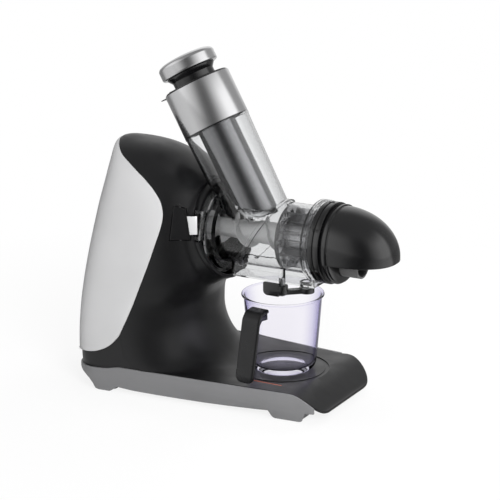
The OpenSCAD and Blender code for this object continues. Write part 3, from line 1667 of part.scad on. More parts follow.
module motor_stator() {
  color([0.45, 0.45, 0.47])
    translate([stator_x0, 0, motor_z])
      rotate([0, 90, 0])
        difference() {
          linear_extrude(height = stator_l)
            polygon(rounded([[-stator_w / 2, -stator_w / 2], [stator_w / 2, -stator_w / 2],
              [stator_w / 2, stator_w / 2], [-stator_w / 2, stator_w / 2]],
              [stator_w / 8, stator_w / 8, stator_w / 8, stator_w / 8]));
          translate([0, 0, -over])
            cylinder(r = rotor_r + run_gap * 2, h = stator_l * 2, $fn = 96);
          for (s = [-1, 1])
            translate([-stator_w * 0.28, s * stator_w * 0.36 - stator_w * 0.045, -over])
              cube([stator_w * 0.56, stator_w * 0.09, stator_l * 2]);
        }
}

module motor_windings() {
  color([0.70, 0.36, 0.16])
    for (s = [-1, 1])
      translate([stator_x0 - gear_w * 0.62, s * stator_w * 0.36 - stator_w * 0.04, motor_z - stator_w * 0.27])
        cube([stator_l + gear_w * 1.24, stator_w * 0.08, stator_w * 0.54]);
}

post_y = stator_w * 0.56;

module motor_brackets() {
  color([0.62, 0.62, 0.63])
    difference() {
      union() {
        for (x = [bracket_front_x, bracket_rear_x])
          translate([x, -stator_w * 0.62, motor_z - stator_w * 0.16])
            cube([case_t, stator_w * 1.24, stator_w * 0.32]);
        for (s = [-1, 1])
          translate([bracket_rear_x + over, s * post_y, motor_z])
            rotate([0, 90, 0])
              cylinder(r = case_t, h = bracket_front_x - bracket_rear_x, $fn = 32);
        for (s = [-1, 1])
          translate([stator_x0, s > 0 ? stator_w / 2 : -post_y, motor_z - case_t])
            cube([stator_l, post_y - stator_w / 2, 2 * case_t]);
        for (s = [-1, 1])
          translate([bracket_front_x, s * small_teeth * fast_module * 1.15, motor_z])
            rotate([0, 90, 0])
              cylinder(r = case_t * 0.7, h = case_back_x - case_t - bracket_front_x, $fn = 24);
      }
      rod_x(bracket_rear_x - case_t, bracket_front_x + 2 * case_t, motor_z, motor_r * 2.2);
    }
}

module motor_bearings() {
  color([0.7, 0.7, 0.72]) {
    translate([bracket_front_x, 0, motor_z])
      rotate([0, 90, 0])
        tube(motor_r * 2.2 - bearing_gap, motor_r + bearing_gap, case_t);
    translate([bracket_rear_x, 0, motor_z])
      rotate([0, 90, 0])
        tube(motor_r * 2.2 - bearing_gap, motor_r + bearing_gap, case_t);
  }
}

fan_x = bracket_rear_x - gear_w * 0.72;

module motor_shaft() {
  color([0.60, 0.60, 0.62]) {
    rod_x(fan_x, lay_gear_x + gear_w * 0.6, motor_z, motor_r);
    rod_x(stator_x0, stator_x1, motor_z, rotor_r);
    rod_x(stator_x0 - gear_w * 0.7, stator_x0 + over, motor_z, rotor_r * 0.45);
  }
}

module cooling_fan() {
  color([0.14, 0.14, 0.15])
    translate([fan_x, 0, motor_z])
      rotate([0, 90, 0])
        difference() {
          union() {
            cylinder(r = fan_r, h = wall_t * 0.5, $fn = 64);
            cylinder(r = motor_r * 2, h = gear_w * 0.5, $fn = 32);
            for (a = [0 : 40 : 359])
              rotate([0, 0, a])
                translate([motor_r * 1.6, -wall_t * 0.3, 0])
                  cube([fan_r * 0.98 - motor_r * 1.6, wall_t * 0.6, gear_w * 0.5]);
          }
          translate([0, 0, -over])
            cylinder(r = motor_r, h = gear_w, $fn = 64);
        }
}

base_skirt();
bottom_plate();
rubber_feet();
housing_screws();
front_housing();
rear_housing();
wrap_panel();
deck_strip();
socket_ring();
release_button();
latch_tab();
latch_pin();
latch_spring();
bowl();
bowl_gasket();
chute_collar();
auger_seal();
strainer();
strainer_cage();
auger();
auger_bush();
front_nut();
nut_seal();
pulp_hood();
pulp_spout();
drip_lever();
lever_pin();
lever_plug();
chute_lid();
pusher_tube();
pusher_tip();
pusher_neck();
pusher_knob();
jug();
jug_grip();
motor_stator();
motor_windings();
motor_brackets();
motor_shaft();
motor_bearings();
cooling_fan();
motor_pinion();
gear_case();
gear_cover();
cover_screws();
lay_shaft();
lay_gear();
lay_pinion();
output_gear();
output_shaft();
shaft_bearings();
shaft_seal();
control_board();
power_rocker();
switch_frame();
cord_gland();
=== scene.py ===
"""Looks of a horizontal slow juicer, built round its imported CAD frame."""

import json
import math
from contextlib import contextmanager

import bmesh
import bpy
import numpy as np
from bpy.props import FloatProperty, FloatVectorProperty, PointerProperty
from mathutils import Matrix, Vector
from mathutils.bvhtree import BVHTree

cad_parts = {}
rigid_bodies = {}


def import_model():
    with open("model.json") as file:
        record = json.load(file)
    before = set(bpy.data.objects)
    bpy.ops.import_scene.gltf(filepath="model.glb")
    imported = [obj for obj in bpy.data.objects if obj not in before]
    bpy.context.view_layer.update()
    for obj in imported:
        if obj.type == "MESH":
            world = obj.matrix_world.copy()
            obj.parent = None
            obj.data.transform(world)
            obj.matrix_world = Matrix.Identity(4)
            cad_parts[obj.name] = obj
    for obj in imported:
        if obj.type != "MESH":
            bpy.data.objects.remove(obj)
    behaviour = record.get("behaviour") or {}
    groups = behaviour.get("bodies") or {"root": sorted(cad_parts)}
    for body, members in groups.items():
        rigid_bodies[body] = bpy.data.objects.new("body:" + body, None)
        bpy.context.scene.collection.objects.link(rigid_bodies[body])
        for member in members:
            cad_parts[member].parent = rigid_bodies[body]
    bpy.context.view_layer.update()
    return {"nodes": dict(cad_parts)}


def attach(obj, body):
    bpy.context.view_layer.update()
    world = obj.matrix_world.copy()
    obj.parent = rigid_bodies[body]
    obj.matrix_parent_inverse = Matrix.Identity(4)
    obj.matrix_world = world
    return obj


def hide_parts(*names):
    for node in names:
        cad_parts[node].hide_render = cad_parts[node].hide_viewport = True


bl_info = {
    "name": "Slow juicer",
    "version": (1, 0, 0),
    "blender": (4, 5, 0),
    "location": "3D View > Sidebar > Juicer",
    "description": "Builds the visible pieces and finishes of a horizontal slow juicer",
    "category": "Object",
}

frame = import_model()
NODES = frame["nodes"]
SCENE = bpy.context.scene
MM = 0.001

# places of the machine, in millimetres, as the construction has them
BACK_X = -197.45
HOUSING_L = 165.3
BODY_W = 198.0
DECK_Z = 33.0
TOP_Z = 300.0
BODY_H = TOP_Z - DECK_Z
FLARE_R = 54.0
FACE_X = BACK_X + HOUSING_L
AXIS_Z = 198.7
FACE_TILT = math.radians(15.6)
SOCKET_R = 62.0
SOCKET_L = 39.4
# how steeply the socket's cone falls back from its rim
CONE_FALL = 44.25 / 6.2
CAVITY_R = 55.0
SHAFT_HOLE_R = 15.2
# between these heights the drum's flow marks fade out into the chute
DRUM_LOW_Z = 236.0
DRUM_TOP_Z = 262.0
CHUTE_X = FACE_X + 60.8
CHUTE_LEAN = math.radians(29.2)
CHUTE_R = 40.8
COLLAR_LOW = 143.0
COLLAR_HIGH = 197.8
COLLAR_T = 0.8
PUSHER_R = 24.0
NECK_S = 200.42
NECK_H = 14.0
KNOB_S = 214.43
KNOB_R = 35.5
KNOB_H = 20.6
DOME_X = 131.45
TIP_X = 197.45
HOOD_R = 45.5
HOOD_T = 2.4
JUG_X = FACE_X + 80.6
JUG_R = 50.0
JUG_FOOT_R = 40.5
JUG_Z = DECK_Z + 0.3
JUG_H = 127.8 - JUG_Z
JUG_T = 2.4
GRIP_TURN = math.radians(-95)
GRIP_W = 25.0
LATCH_D = 48.7
LATCH_TURN = math.radians(32)
LATCH_LEAN = math.radians(77)
BASE_X = BACK_X + 4.4
BASE_L = 335.5
BASE_BACK_W = 208.3
BASE_NOSE_W = 153.2
NOSE_X = BASE_X + BASE_L
# the rounding of the base's plan at the back, the near nose and the far nose
BASE_ROUND, NEAR_ROUND, FAR_ROUND = 30, 20, 52
# the skirt's rim beside the deck, and where the deck's far lip begins and how fast it grows
RIM_W = 2.65
LIP_X = 85.3
LIP_RUN = 3.5
SWITCH_Z = 70.0
SWITCH_W = 23.0
SWITCH_H = 16.0
# what lies behind this length belongs to the back wall
BACK_WALL_X = -180.0
# height shares where the panel and the rear shell end and where the body closes round the back
PANEL_TOP_H = 0.9936
REAR_TOP_H = 0.9865
CLOSED_H = 0.9938
GROOVE_OUT_R = 56.0
GROOVE_IN_R = 51.0
GROOVE_D = 0.9
STRIP_L = 44.8
STRIP_W = 2.34
CORD_Z = DECK_Z * 1.24
CORD_R = 5.0
PANEL_T = 2.0
BODY_T = 2.5
PATCH_T = 3.0

# height, back, front and side shares of the housing's sections, then two powers
STATIONS = np.array([
    [0.000, 0.009, 0.872, 1.000, 5.5, 2.2],
    [0.120, 0.018, 0.872, 0.995, 5.5, 2.2],
    [0.221, 0.025, 0.871, 0.987, 5.2, 2.2],
    [0.296, 0.033, 0.883, 0.976, 5.0, 2.25],
    [0.356, 0.043, 0.931, 0.966, 4.9, 2.4],
    [0.419, 0.055, 0.979, 0.954, 4.8, 2.6],
    [0.517, 0.078, 1.007, 0.932, 4.5, 2.8],
    [0.614, 0.105, 1.007, 0.904, 4.2, 2.8],
    [0.712, 0.128, 0.979, 0.859, 3.8, 2.7],
    [0.775, 0.136, 0.946, 0.808, 3.4, 2.6],
    [0.828, 0.141, 0.907, 0.747, 3.1, 2.5],
    [0.880, 0.142, 0.822, 0.652, 2.9, 2.4],
    [0.925, 0.135, 0.707, 0.525, 2.7, 2.3],
    [0.959, 0.126, 0.604, 0.394, 2.6, 2.2],
    [0.981, 0.126, 0.489, 0.263, 2.5, 2.2],
    [0.994, 0.151, 0.356, 0.141, 2.4, 2.1],
    [1.000, 0.205, 0.284, 0.040, 2.2, 2.0],
])
# length and height shares of the panel's edge, from its foot to the ridge
PANEL_EDGE = [
    (0.130, 0.055), (0.196, 0.058), (0.260, 0.067), (0.320, 0.083), (0.369, 0.103),
    (0.413, 0.130), (0.453, 0.163), (0.517, 0.252), (0.597, 0.374), (0.675, 0.501),
    (0.738, 0.628), (0.756, 0.680), (0.760, 0.711), (0.752, 0.742), (0.722, 0.783),
    (0.664, 0.824), (0.585, 0.861), (0.498, 0.891), (0.408, 0.918), (0.299, 0.947),
    (0.192, 0.981), (0.02, 1.036),
]
# the same shares of the seam in the black band, from the deck's height up
SEAM_EDGE = [
    (0.623, 0.000), (0.598, 0.006), (0.550, 0.022), (0.513, 0.042), (0.491, 0.060),
    (0.475, 0.082), (0.465, 0.110), (0.459, 0.140),
]
# share of the base's length and share of the deck's height, along the rolled nose
DECK_ROLL = [
    (0.820, 1.000), (0.850, 1.000), (0.869, 0.998), (0.886, 0.982), (0.902, 0.935), (0.918, 0.865),
    (0.934, 0.780), (0.950, 0.685), (0.966, 0.590), (0.981, 0.500), (0.991, 0.445), (1.000, 0.425),
]
# corners of the release button and of its ridge, in shares of the socket's depth
BUTTON = [(-1.670, -0.320), (-1.041, -0.330), (-1.168, 0.609), (-1.523, 0.711)]
RIDGE = [(-1.090, -0.315), (-1.045, -0.315), (-1.170, 0.595), (-1.215, 0.605)]
# the opening of the tab
TAB_HOLE = [(-46.3, -7.8), (-30.6, -7.8), (-30.6, 15.8), (-46.3, 15.8)]
# lines of the jug's handle, in shares of the jug's radius and height
GRIP_MID = [(0.965, 0.880), (1.21, 0.865), (1.31, 0.79), (1.56, 0.095), (1.60, 0.045)]
GRIP_OUT = [(0.965, 0.928), (1.24, 0.915), (1.37, 0.835), (1.68, 0.115), (1.68, 0.045)]
GRIP_IN = [(0.955, 0.79), (1.17, 0.80), (1.265, 0.755), (1.50, 0.095), (1.58, 0.060)]
# how much the base narrows on each side per length, and where the column has its table's width
TAPER = (BASE_BACK_W - BASE_NOSE_W) / 2 / BASE_L
TAPER_X = BACK_X + HOUSING_L * 0.429


# tools shared by the operators


def linked(name, data):
    """A new object of this data, in the scene."""
    obj = bpy.data.objects.new(name, data)
    SCENE.collection.objects.link(obj)
    return obj


def alone(obj=None):
    """Leaves only obj selected and active, in object mode."""
    if bpy.context.object is not None and bpy.context.object.mode != "OBJECT":
        bpy.ops.object.mode_set(mode="OBJECT")
    for other in bpy.context.view_layer.objects:
        other.select_set(False)
    if obj is not None:
        bpy.context.view_layer.objects.active = obj
        obj.select_set(True)
    return obj


def applied(obj, kind, **values):
    """Adds a modifier with these values and applies it."""
    alone(obj)
    mod = obj.modifiers.new("shape", kind)
    for key, value in values.items():
        setattr(mod, key, value)
    bpy.ops.object.modifier_apply(modifier=mod.name)
    return obj


def softened(obj, width, segments=3, angle=35):
    """Rounds the sharp edges of a piece; width in millimetres."""
    return applied(
        obj, "BEVEL", width=width * MM, segments=segments, limit_method="ANGLE",
        angle_limit=math.radians(angle), use_clamp_overlap=False, miter_outer="MITER_ARC",
    )


@contextmanager
def editing(obj):
    """Edit mode on this piece, with all of it selected."""
    alone(obj)
    bpy.ops.object.mode_set(mode="EDIT")
    bpy.ops.mesh.select_all(action="SELECT")
    yield
    bpy.ops.object.mode_set(mode="OBJECT")


def cleaned(obj, gap=0.02, flat=0.4):
    """Merges loose triangles and joins those that lie in one plane."""
    with editing(obj):
        bpy.ops.mesh.remove_doubles(threshold=gap * MM)
        if flat:
            bpy.ops.mesh.dissolve_limited(angle_limit=math.radians(flat))
    return obj


def node_copy(node, name, gap=0.02, flat=0.4):
    """A merged copy of a construction node, at the same place."""
    obj = linked(name, NODES[node].data.copy())
    obj.data.materials.clear()
    alone(obj)
    if obj.data.has_custom_normals:
        bpy.ops.mesh.customdata_custom_splitnormals_clear()
    return cleaned(obj, gap, flat)


def dressed(obj, key, body, node, smooth):
    """Gives a finished piece its material and its body, and hides the node that it stands for."""
    alone(obj)
    bpy.ops.object.shade_smooth_by_angle(angle=math.radians(smooth))
    obj.data.materials.clear()
    obj.data.materials.append(finish(key))
    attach(obj, body)
    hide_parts(node)
    return obj


def rounded_copy(node, name, key, body, slot, width, segments=3, bevel=40, smooth=30):
    """A node's copy with rounded edges, dressed and standing for the node."""
    return dressed(softened(node_copy(node, name), width, segments, bevel), key, body, node, smooth)


def placed(obj, matrix):
    """Moves a piece to its place and applies the place to its mesh."""
    alone(obj)
    obj.matrix_world = matrix
    bpy.ops.object.transform_apply(location=True, rotation=True, scale=True)
    return obj


def at(x, z):
    """A move to this place in the middle plane."""
    return Matrix.Translation((x * MM, 0, z * MM))


def on_axis(x):
    """Local +Z runs along +X on the auger's axis."""
    return at(x, AXIS_Z) @ Matrix.Rotation(math.pi / 2, 4, "Y")


def on_chute(s):
    """Local +Z runs up along the chute."""
    return at(CHUTE_X, AXIS_Z) @ Matrix.Rotation(-CHUTE_LEAN, 4, "Y") @ at(0, s)


def on_latch():
    """Local +X across the release button, +Y up it, +Z out of its face."""
    return at(FACE_X, AXIS_Z) @ Matrix.Rotation(LATCH_TURN, 4, "Z") @ Matrix.Rotation(LATCH_LEAN, 4, "X")


def on_face():
    """Local +Z runs out of the leaning socket face."""
    return at(FACE_X, AXIS_Z) @ Matrix.Rotation(math.pi / 2 - FACE_TILT, 4, "Y")


def turned(name, rings, matrix, count=128, closed=True):
    """A lathe form: a circle is extruded and resized from ring to ring (radius, height)."""
    alone()
    r, z = rings[0]
    bpy.ops.mesh.primitive_circle_add(vertices=count, radius=r * MM, location=(0, 0, z * MM))
    obj = bpy.context.active_object
    obj.name = obj.data.name = name
    bpy.ops.object.transform_apply(location=True)
    with editing(obj):
        bpy.ops.mesh.select_mode(type="EDGE")
        bpy.ops.mesh.select_all(action="SELECT")
        for r1, z1 in rings[1:]:
            bpy.ops.mesh.extrude_region_move(TRANSFORM_OT_translate={"value": (0, 0, (z1 - z) * MM)})
            k = max(r1, 0.01) / max(r, 0.01)
            bpy.ops.transform.resize(value=(k, k, 1), center_override=(0, 0, z1 * MM))
            r, z = r1, z1
        bpy.ops.mesh.select_all(action="SELECT")
        if closed:
            bpy.ops.mesh.remove_doubles(threshold=0.03 * MM)
        bpy.ops.mesh.normals_make_consistent(inside=False)
    return placed(obj, matrix)


def arced(points, radii, steps=5):
    """The line of points with its corners rounded to these radii."""
    out = []
    for i, (q, rad) in enumerate(zip(points, radii)):
        if rad <= 0 or i in (0, len(points) - 1):
            out.append(q)
            continue
        p, r = Vector(points[i - 1]), Vector(points[i + 1])
        q = Vector(q)
        a, b = (p - q).normalized(), (r - q).normalized()
        half = math.acos(max(-1, min(1, a.dot(b)))) / 2
        if abs(half - math.pi / 2) < 1e-3:
            out.append(tuple(q))
            continue
        centre = q + (a + b).normalized() * rad / math.sin(half)
        start, end = q + a * rad / math.tan(half), q + b * rad / math.tan(half)
        a0 = math.atan2(*(start - centre).yx)
        turn = (math.atan2(*(end - centre).yx) - a0 + math.pi) % (2 * math.pi) - math.pi
        for k in range(steps + 1):
            a = a0 + turn * k / steps
            out.append((centre.x + rad * math.cos(a), centre.y + rad * math.sin(a)))
    return out


def joined(name, *parts):
    """Joins several meshes into one object."""
    alone(parts[0])
    for part in parts[1:]:
        part.select_set(True)
    bpy.ops.object.join()
    parts[0].name = parts[0].data.name = name
    return parts[0]


def carved(obj, tool):
    """Takes the tool's form out of the piece."""
    applied(obj, "BOOLEAN", object=tool, operation="DIFFERENCE", solver="EXACT")
    bpy.data.objects.remove(tool)
    return obj


@contextmanager
def edited(obj):
    """The piece's mesh, open for changes and written back after them."""
    bm = bmesh.new()
    bm.from_mesh(obj.data)
    yield bm
    bm.to_mesh(obj.data)
    bm.free()


def cut_open(obj, test):
    """Deletes the faces whose middle passes the test (millimetres)."""
    with edited(obj) as bm:
        gone = [f for f in bm.faces if test(f.calc_center_median() / MM)]
        bmesh.ops.delete(bm, geom=gone, context="FACES")
    return obj


def faced(obj, way):
    """Turns a sheet's outward side this way."""
    with edited(obj) as bm:
        if sum(f.normal.dot(way) * f.calc_area() for f in bm.faces) < 0:
            bmesh.ops.reverse_faces(bm, faces=bm.faces)
    return obj


def holed(obj, outline, matrix, low):
    """Opens a sheet over a convex outline in the matrix's plane, above low, with clean edges."""
    back, turn = matrix.inverted(), matrix.to_3x3()
    sides = [(Vector(a), Vector(b)) for a, b in zip(outline, outline[1:] + outline[:1])]

    def room(face, margin):
        p = back @ face.calc_center_median() / MM
        return p.z > low and all(
            (b - a).x * (p.y - a.y) - (b - a).y * (p.x - a.x) > -margin * (b - a).length
            for a, b in sides
        )

    with edited(obj) as bm:
        for a, b in sides:
            faces = [f for f in bm.faces if room(f, 4)]
            geom = [*faces, *{e for f in faces for e in f.edges}, *{v for f in faces for v in f.verts}]
            corner = matrix @ (Vector((a.x, a.y, 0)) * MM)
            out = turn @ Vector((b.y - a.y, a.x - b.x, 0))
            bmesh.ops.bisect_plane(bm, geom=geom, dist=1e-6, plane_co=corner, plane_no=out)
        bmesh.ops.delete(bm, geom=[f for f in bm.faces if room(f, 0)], context="FACES")
    return obj


def prism(name, points, z0, z1):
    """A closed prism over a polygon, in millimetres."""
    bm = bmesh.new()
    low = [bm.verts.new((x * MM, y * MM, z0 * MM)) for x, y in points]
    face = bm.faces.new(low)
    top = bmesh.ops.extrude_face_region(bm, geom=[face])
    verts = [v for v in top["geom"] if isinstance(v, bmesh.types.BMVert)]
    bmesh.ops.translate(bm, verts=verts, vec=(0, 0, (z1 - z0) * MM))
    bmesh.ops.recalc_face_normals(bm, faces=bm.faces)
    mesh = bpy.data.meshes.new(name)
    bm.to_mesh(mesh)
    bm.free()
    return linked(name, mesh)


def sized(points):
    """Corners given as shares of the socket's depth, in millimetres."""
    return [(x * SOCKET_L, y * SOCKET_L) for x, y in points]


def capped(obj):
    """Closes the open ends of a sheet with a face each and turns the normals outward."""
    with editing(obj):
        bpy.ops.mesh.select_mode(type="VERT")
        bpy.ops.mesh.select_all(action="DESELECT")
        bpy.ops.mesh.select_non_manifold()
        bpy.ops.mesh.edge_face_add()
        bpy.ops.mesh.select_all(action="SELECT")
        bpy.ops.mesh.normals_make_consistent(inside=False)
    return obj


def run_along(line):
    """The length run at each point of a flat line."""
    return np.concatenate([[0], np.cumsum(np.hypot(*np.diff(line, axis=0).T))])


def evened(line, count):
    """The line resampled to evenly spaced points."""
    line = np.asarray(line, float)
    run = run_along(line)
    even = np.linspace(0, run[-1], count)
    return np.stack([np.interp(even, run, line[:, k]) for k in (0, 1)], 1)


def band(name, inner, outer, wide, round_end, soft, turn):
    """A band with rounded edges between two lines of radius and height, turned round the jug's axis."""
    count = 70
    a, b = evened(inner, count), evened(outer, count)
    run = run_along((a + b) / 2)
    rows = []
    for i in range(count):
        left = run[-1] - run[i]
        end = 1.0 if left > round_end else math.sqrt(max(1 - (1 - left / round_end) ** 2, 0.0004))
        mid, half = (a[i] + b[i]) / 2, (b[i] - a[i]) / 2 * end
        thick = float(np.hypot(*half))
        across = half / max(thick, 1e-6)
        w = wide / 2 - round_end * (1 - end) * 0.8
        r = min(soft, thick * 0.98, w * 0.98)
        row = []
        for cx, cy, a0 in ((1, 1, 0), (-1, 1, 90), (-1, -1, 180), (1, -1, 270)):
            for k in range(7):
                t = math.radians(a0 + 15 * k)
                u = cx * (w - r) + r * math.cos(t)
                v = cy * (thick - r) + r * math.sin(t)
                q = mid + across * v
                x, y = Matrix.Rotation(turn, 2) @ Vector((q[0], u))
                row.append((x + JUG_X, y, q[1] + JUG_Z))
        rows.append(row)
    return capped(grid_mesh(name, rows, True))


def grip_line(shares, radii):
    """A line of the jug's handle, with rounded corners, in millimetres."""
    return arced([(r * JUG_R, h * JUG_H) for r, h in shares], radii, 8)


def base_outline(inset, nose_inset):
    """Plan of the base, moved in; every inset gives the same count of points."""
    steps, fine = 20, 24
    xb, xn = BASE_X + inset, NOSE_X - nose_inset
    yb = BASE_BACK_W / 2 - inset * (1 + TAPER)
    yn = BASE_NOSE_W / 2 - inset + TAPER * nose_inset
    rim = [(xb, 0), (xb, -yb), (xn, -yn), (xn, yn), (xb, yb), (xb, 0)]
    corners = (BASE_ROUND, NEAR_ROUND, FAR_ROUND, BASE_ROUND)
    radii = [0] + [max(r - inset, 0.4) for r in corners] + [0]
    line = arced(rim, radii, steps)
    out = []
    for i in range(len(line) - 1):
        p, q = Vector(line[i]), Vector(line[i + 1])
        count = fine if i % (steps + 1) == 0 else 1
        out += [tuple(p.lerp(q, k / count)) for k in range(count)]
    return np.array(out)


def grid_mesh(name, rows, wrap=False):
    """A sheet of quads from rows of points in millimetres, outward side by rising columns and rows."""
    rows = np.asarray(rows, float)
    m, n = rows.shape[:2]
    faces = []
    for i in range(m - 1):
        for j in range(n if wrap else n - 1):
            k = (j + 1) % n
            faces.append((i * n + j, i * n + k, (i + 1) * n + k, (i + 1) * n + j))
    mesh = bpy.data.meshes.new(name)
    mesh.from_pydata([tuple(p) for p in rows.reshape(-1, 3) * MM], [], faces)
    mesh.update()
    return linked(name, mesh)


# the lofted form of the housing


def catmull(table, t):
    """The smooth value of a table of rows at the number t."""
    table = np.asarray(table, float)
    t = np.atleast_1d(t)
    m = len(table) - 1
    i = np.clip(np.floor(t).astype(int), 0, m - 1)
    f = (t - i)[:, None]
    a, b = table[np.maximum(i - 1, 0)], table[i]
    c, d = table[i + 1], table[np.minimum(i + 2, m)]
    return (2 * b + (c - a) * f + (2 * a - 5 * b + 4 * c - d) * f**2 + (3 * b - a - 3 * c + d) * f**3) / 2


FINE_T = np.linspace(0, 16, 6401)
FINE_H = np.maximum.accumulate(catmull(STATIONS, FINE_T)[:, 0])


def section(h, inset):
    """Back, front, half width and the two powers of the section at height share h."""
    s = catmull(STATIONS, np.interp(h, FINE_H, FINE_T))[0]
    up = s[0] * BODY_H + inset
    flare = 0 if up >= FLARE_R else FLARE_R - math.sqrt(max(FLARE_R**2 - (FLARE_R - up) ** 2, 0))
    back = BACK_X + s[1] * HOUSING_L + inset
    front = BACK_X + s[2] * HOUSING_L - inset + flare
    return back, front, s[3] * BODY_W / 2 - inset, s[4], s[5]


def edge_angle(h, inset, x):
    """The angle at which the section at height h reaches the length x."""
    back, front, _, low, high = section(h, inset)
    mid = back + 0.45 * (front - back)
    if x >= mid:
        c = min(1, (x - mid) / (front - mid)) ** (high / 2)
    else:
        c = -(min(1, (mid - x) / (mid - back)) ** (low / 2))
    return math.acos(max(-1, min(1, c)))


def arc_row(h, inset, a0, a1, count):
    """Evenly spaced points of one section between two angles."""
    back, front, w, low, high = section(h, inset)
    mid = back + 0.45 * (front - back)
    a = np.linspace(a0, a1, 1200)
    c, s = np.cos(a), np.sin(a)
    power = np.where(c > 0, high, low)
    x = mid + np.where(c > 0, front - mid, mid - back) * np.sign(c) * np.abs(c) ** (2 / power)
    y = w * np.sign(s) * np.abs(s) ** (2 / power)
    y = y * (1 - TAPER * (x - TAPER_X) / (BODY_W / 2))
    run = run_along(np.stack([x, y], 1))
    even = np.linspace(0, max(run[-1], 1e-6), count)
    z = DECK_Z + h * (BODY_H - inset)
    return np.stack([np.interp(even, run, x), np.interp(even, run, y), np.full(count, z)], 1)


def smooth_edge(points, count):
    """A smooth line through the points, evenly stepped by its length."""
    fine = catmull(points, np.linspace(0, len(points) - 1, 1500))
    return evened(fine * [HOUSING_L, BODY_H], count) / [HOUSING_L, BODY_H]


def edge_at(line, h):
    """Length of the edge line at this height, in millimetres."""
    return BACK_X + float(np.interp(h, line[:, 1], line[:, 0])) * HOUSING_L


def heights(line, count):
    """Height shares of the rows that follow an edge line."""
    return np.interp(np.linspace(0, 1, count), np.linspace(0, 1, len(line)), line[:, 1])


def body_edge():
    """The black body's edge: the seam in the band, then under the panel's edge."""
    return smooth_edge(SEAM_EDGE + PANEL_EDGE[6:], 500)


# finishes


def fed(tree, socket, value):
    """Feeds a socket with a constant or with another node's output."""
    if isinstance(value, bpy.types.NodeSocket):
        tree.links.new(value, socket)
    else:
        socket.default_value = value


def added(tree, kind, *inputs, **values):
    """A new node; inputs feed its sockets in order, names with a capital are sockets, others settings."""
    node = tree.nodes.new("ShaderNode" + kind)
    for key, value in values.items():
        if key[0].isupper():
            fed(tree, node.inputs[key.replace("_", " ")], value)
        else:
            setattr(node, key, value)
    for socket, value in zip(node.inputs, inputs):
        fed(tree, socket, value)
    return node


def shader(name, colour, **sockets):
    """A new material and its shader, with constant values on the shader's own sockets."""
    mat = bpy.data.materials.new(name)
    mat.use_nodes = True
    bsdf = mat.node_tree.nodes["Principled BSDF"]
    bsdf.inputs["Base Color"].default_value = (*colour[:3], 1)
    for key, value in sockets.items():
        bsdf.inputs[key.replace("_", " ")].default_value = value
    return mat, mat.node_tree, bsdf


def pattern(tree, scale, detail=3, stretch=(1, 1, 1), turn=(0, 0, 0), rough=0.5):
    """A noise on Object coordinates, stretched and turned; scale is per metre."""
    coords = added(tree, "TexCoord").outputs["Object"]
    way = added(tree, "Mapping", Vector=coords, Scale=stretch, Rotation=turn).outputs["Vector"]
    return added(tree, "TexNoise", Vector=way, Scale=scale, Detail=detail, Roughness=rough).outputs["Fac"]


def ranged(tree, value, low, high):
    """The middle of a pattern's values brought into a range."""
    node = added(tree, "MapRange", Value=value, From_Min=0.3, From_Max=0.7, To_Min=low, To_Max=high)
    return node.outputs["Result"]


def ramped(tree, value, stops):
    """A colour that runs through these stops of place and colour."""
    ramp = added(tree, "ValToRGB", Fac=value)
    elements = ramp.color_ramp.elements
    while len(elements) < len(stops):
        elements.new(0.5)
    for element, (place, _) in zip(elements, stops):
        element.position = place
    for element, (_, colour) in zip(elements, stops):
        element.color = (*colour, 1)
    return ramp.outputs["Color"]


def tinted(tree, bsdf, value, dark, light):
    """Lets a pattern run the base colour between two colours."""
    fed(tree, bsdf.inputs["Base Color"], ramped(tree, value, [(0.3, dark), (0.7, light)]))


def grained(tree, bsdf, value, depth, strength=1.0):
    """A bump of this depth in millimetres."""
    bump = added(tree, "Bump", Height=value, Strength=strength, Distance=depth * MM)
    fed(tree, bsdf.inputs["Normal"], bump.outputs["Normal"])


def moulded(name, colour, rough, grain, depth, spread=0.05, vary=0.12, **sockets):
    """Moulded plastic: faint clouding, uneven sheen and the mould's fine grain."""
    mat, tree, bsdf = shader(name, colour, Roughness=rough, **sockets)
    dark = [c * (1 - vary) for c in colour[:3]]
    light = [min(1, c * (1 + vary)) for c in colour[:3]]
    tinted(tree, bsdf, pattern(tree, 14, 3), dark, light)
    sheen = ranged(tree, pattern(tree, 55, 4), rough - spread, rough + spread)
    fed(tree, bsdf.inputs["Roughness"], sheen)
    grained(tree, bsdf, pattern(tree, grain, 2), depth)
    return mat


def brushed(name, colour, rough, along, depth, turn=(0, 0, 0), **sockets):
    """Metal with fine lines of brushing along one direction."""
    mat, tree, bsdf = shader(name, colour, Metallic=1.0, Roughness=rough, **sockets)
    lines = pattern(tree, 60, 5, stretch=along, turn=turn, rough=0.7)
    tinted(tree, bsdf, lines, [c * 0.92 for c in colour[:3]], colour[:3])
    fed(tree, bsdf.inputs["Roughness"], ranged(tree, lines, rough * 0.8, rough * 1.25))
    grained(tree, bsdf, lines, depth)
    return mat


def clear(name, colour, rough, ior):
    """Clear plastic with faint flow marks of the mould."""
    mat, tree, bsdf = shader(name, colour, Roughness=rough, IOR=ior, Transmission_Weight=1.0)
    fed(tree, bsdf.inputs["Roughness"], ranged(tree, pattern(tree, 40, 2), rough, rough + 0.03))
    grained(tree, bsdf, pattern(tree, 90, 1), 0.02, 0.3)
    return mat, tree, bsdf


def clear_jug_finish(look):
    """The jug's clear plastic, tinted more where it is seen along its surface."""
    mat, tree, bsdf = clear("clear_jug_moulding", look.jug_tint, 0.01, 1.15)
    facing = added(tree, "LayerWeight", Blend=0.35).outputs["Facing"]
    fed(tree, bsdf.inputs["Base Color"], ramped(tree, facing, [(0.15, look.jug_tint), (0.85, look.jug_edge)]))
    return mat


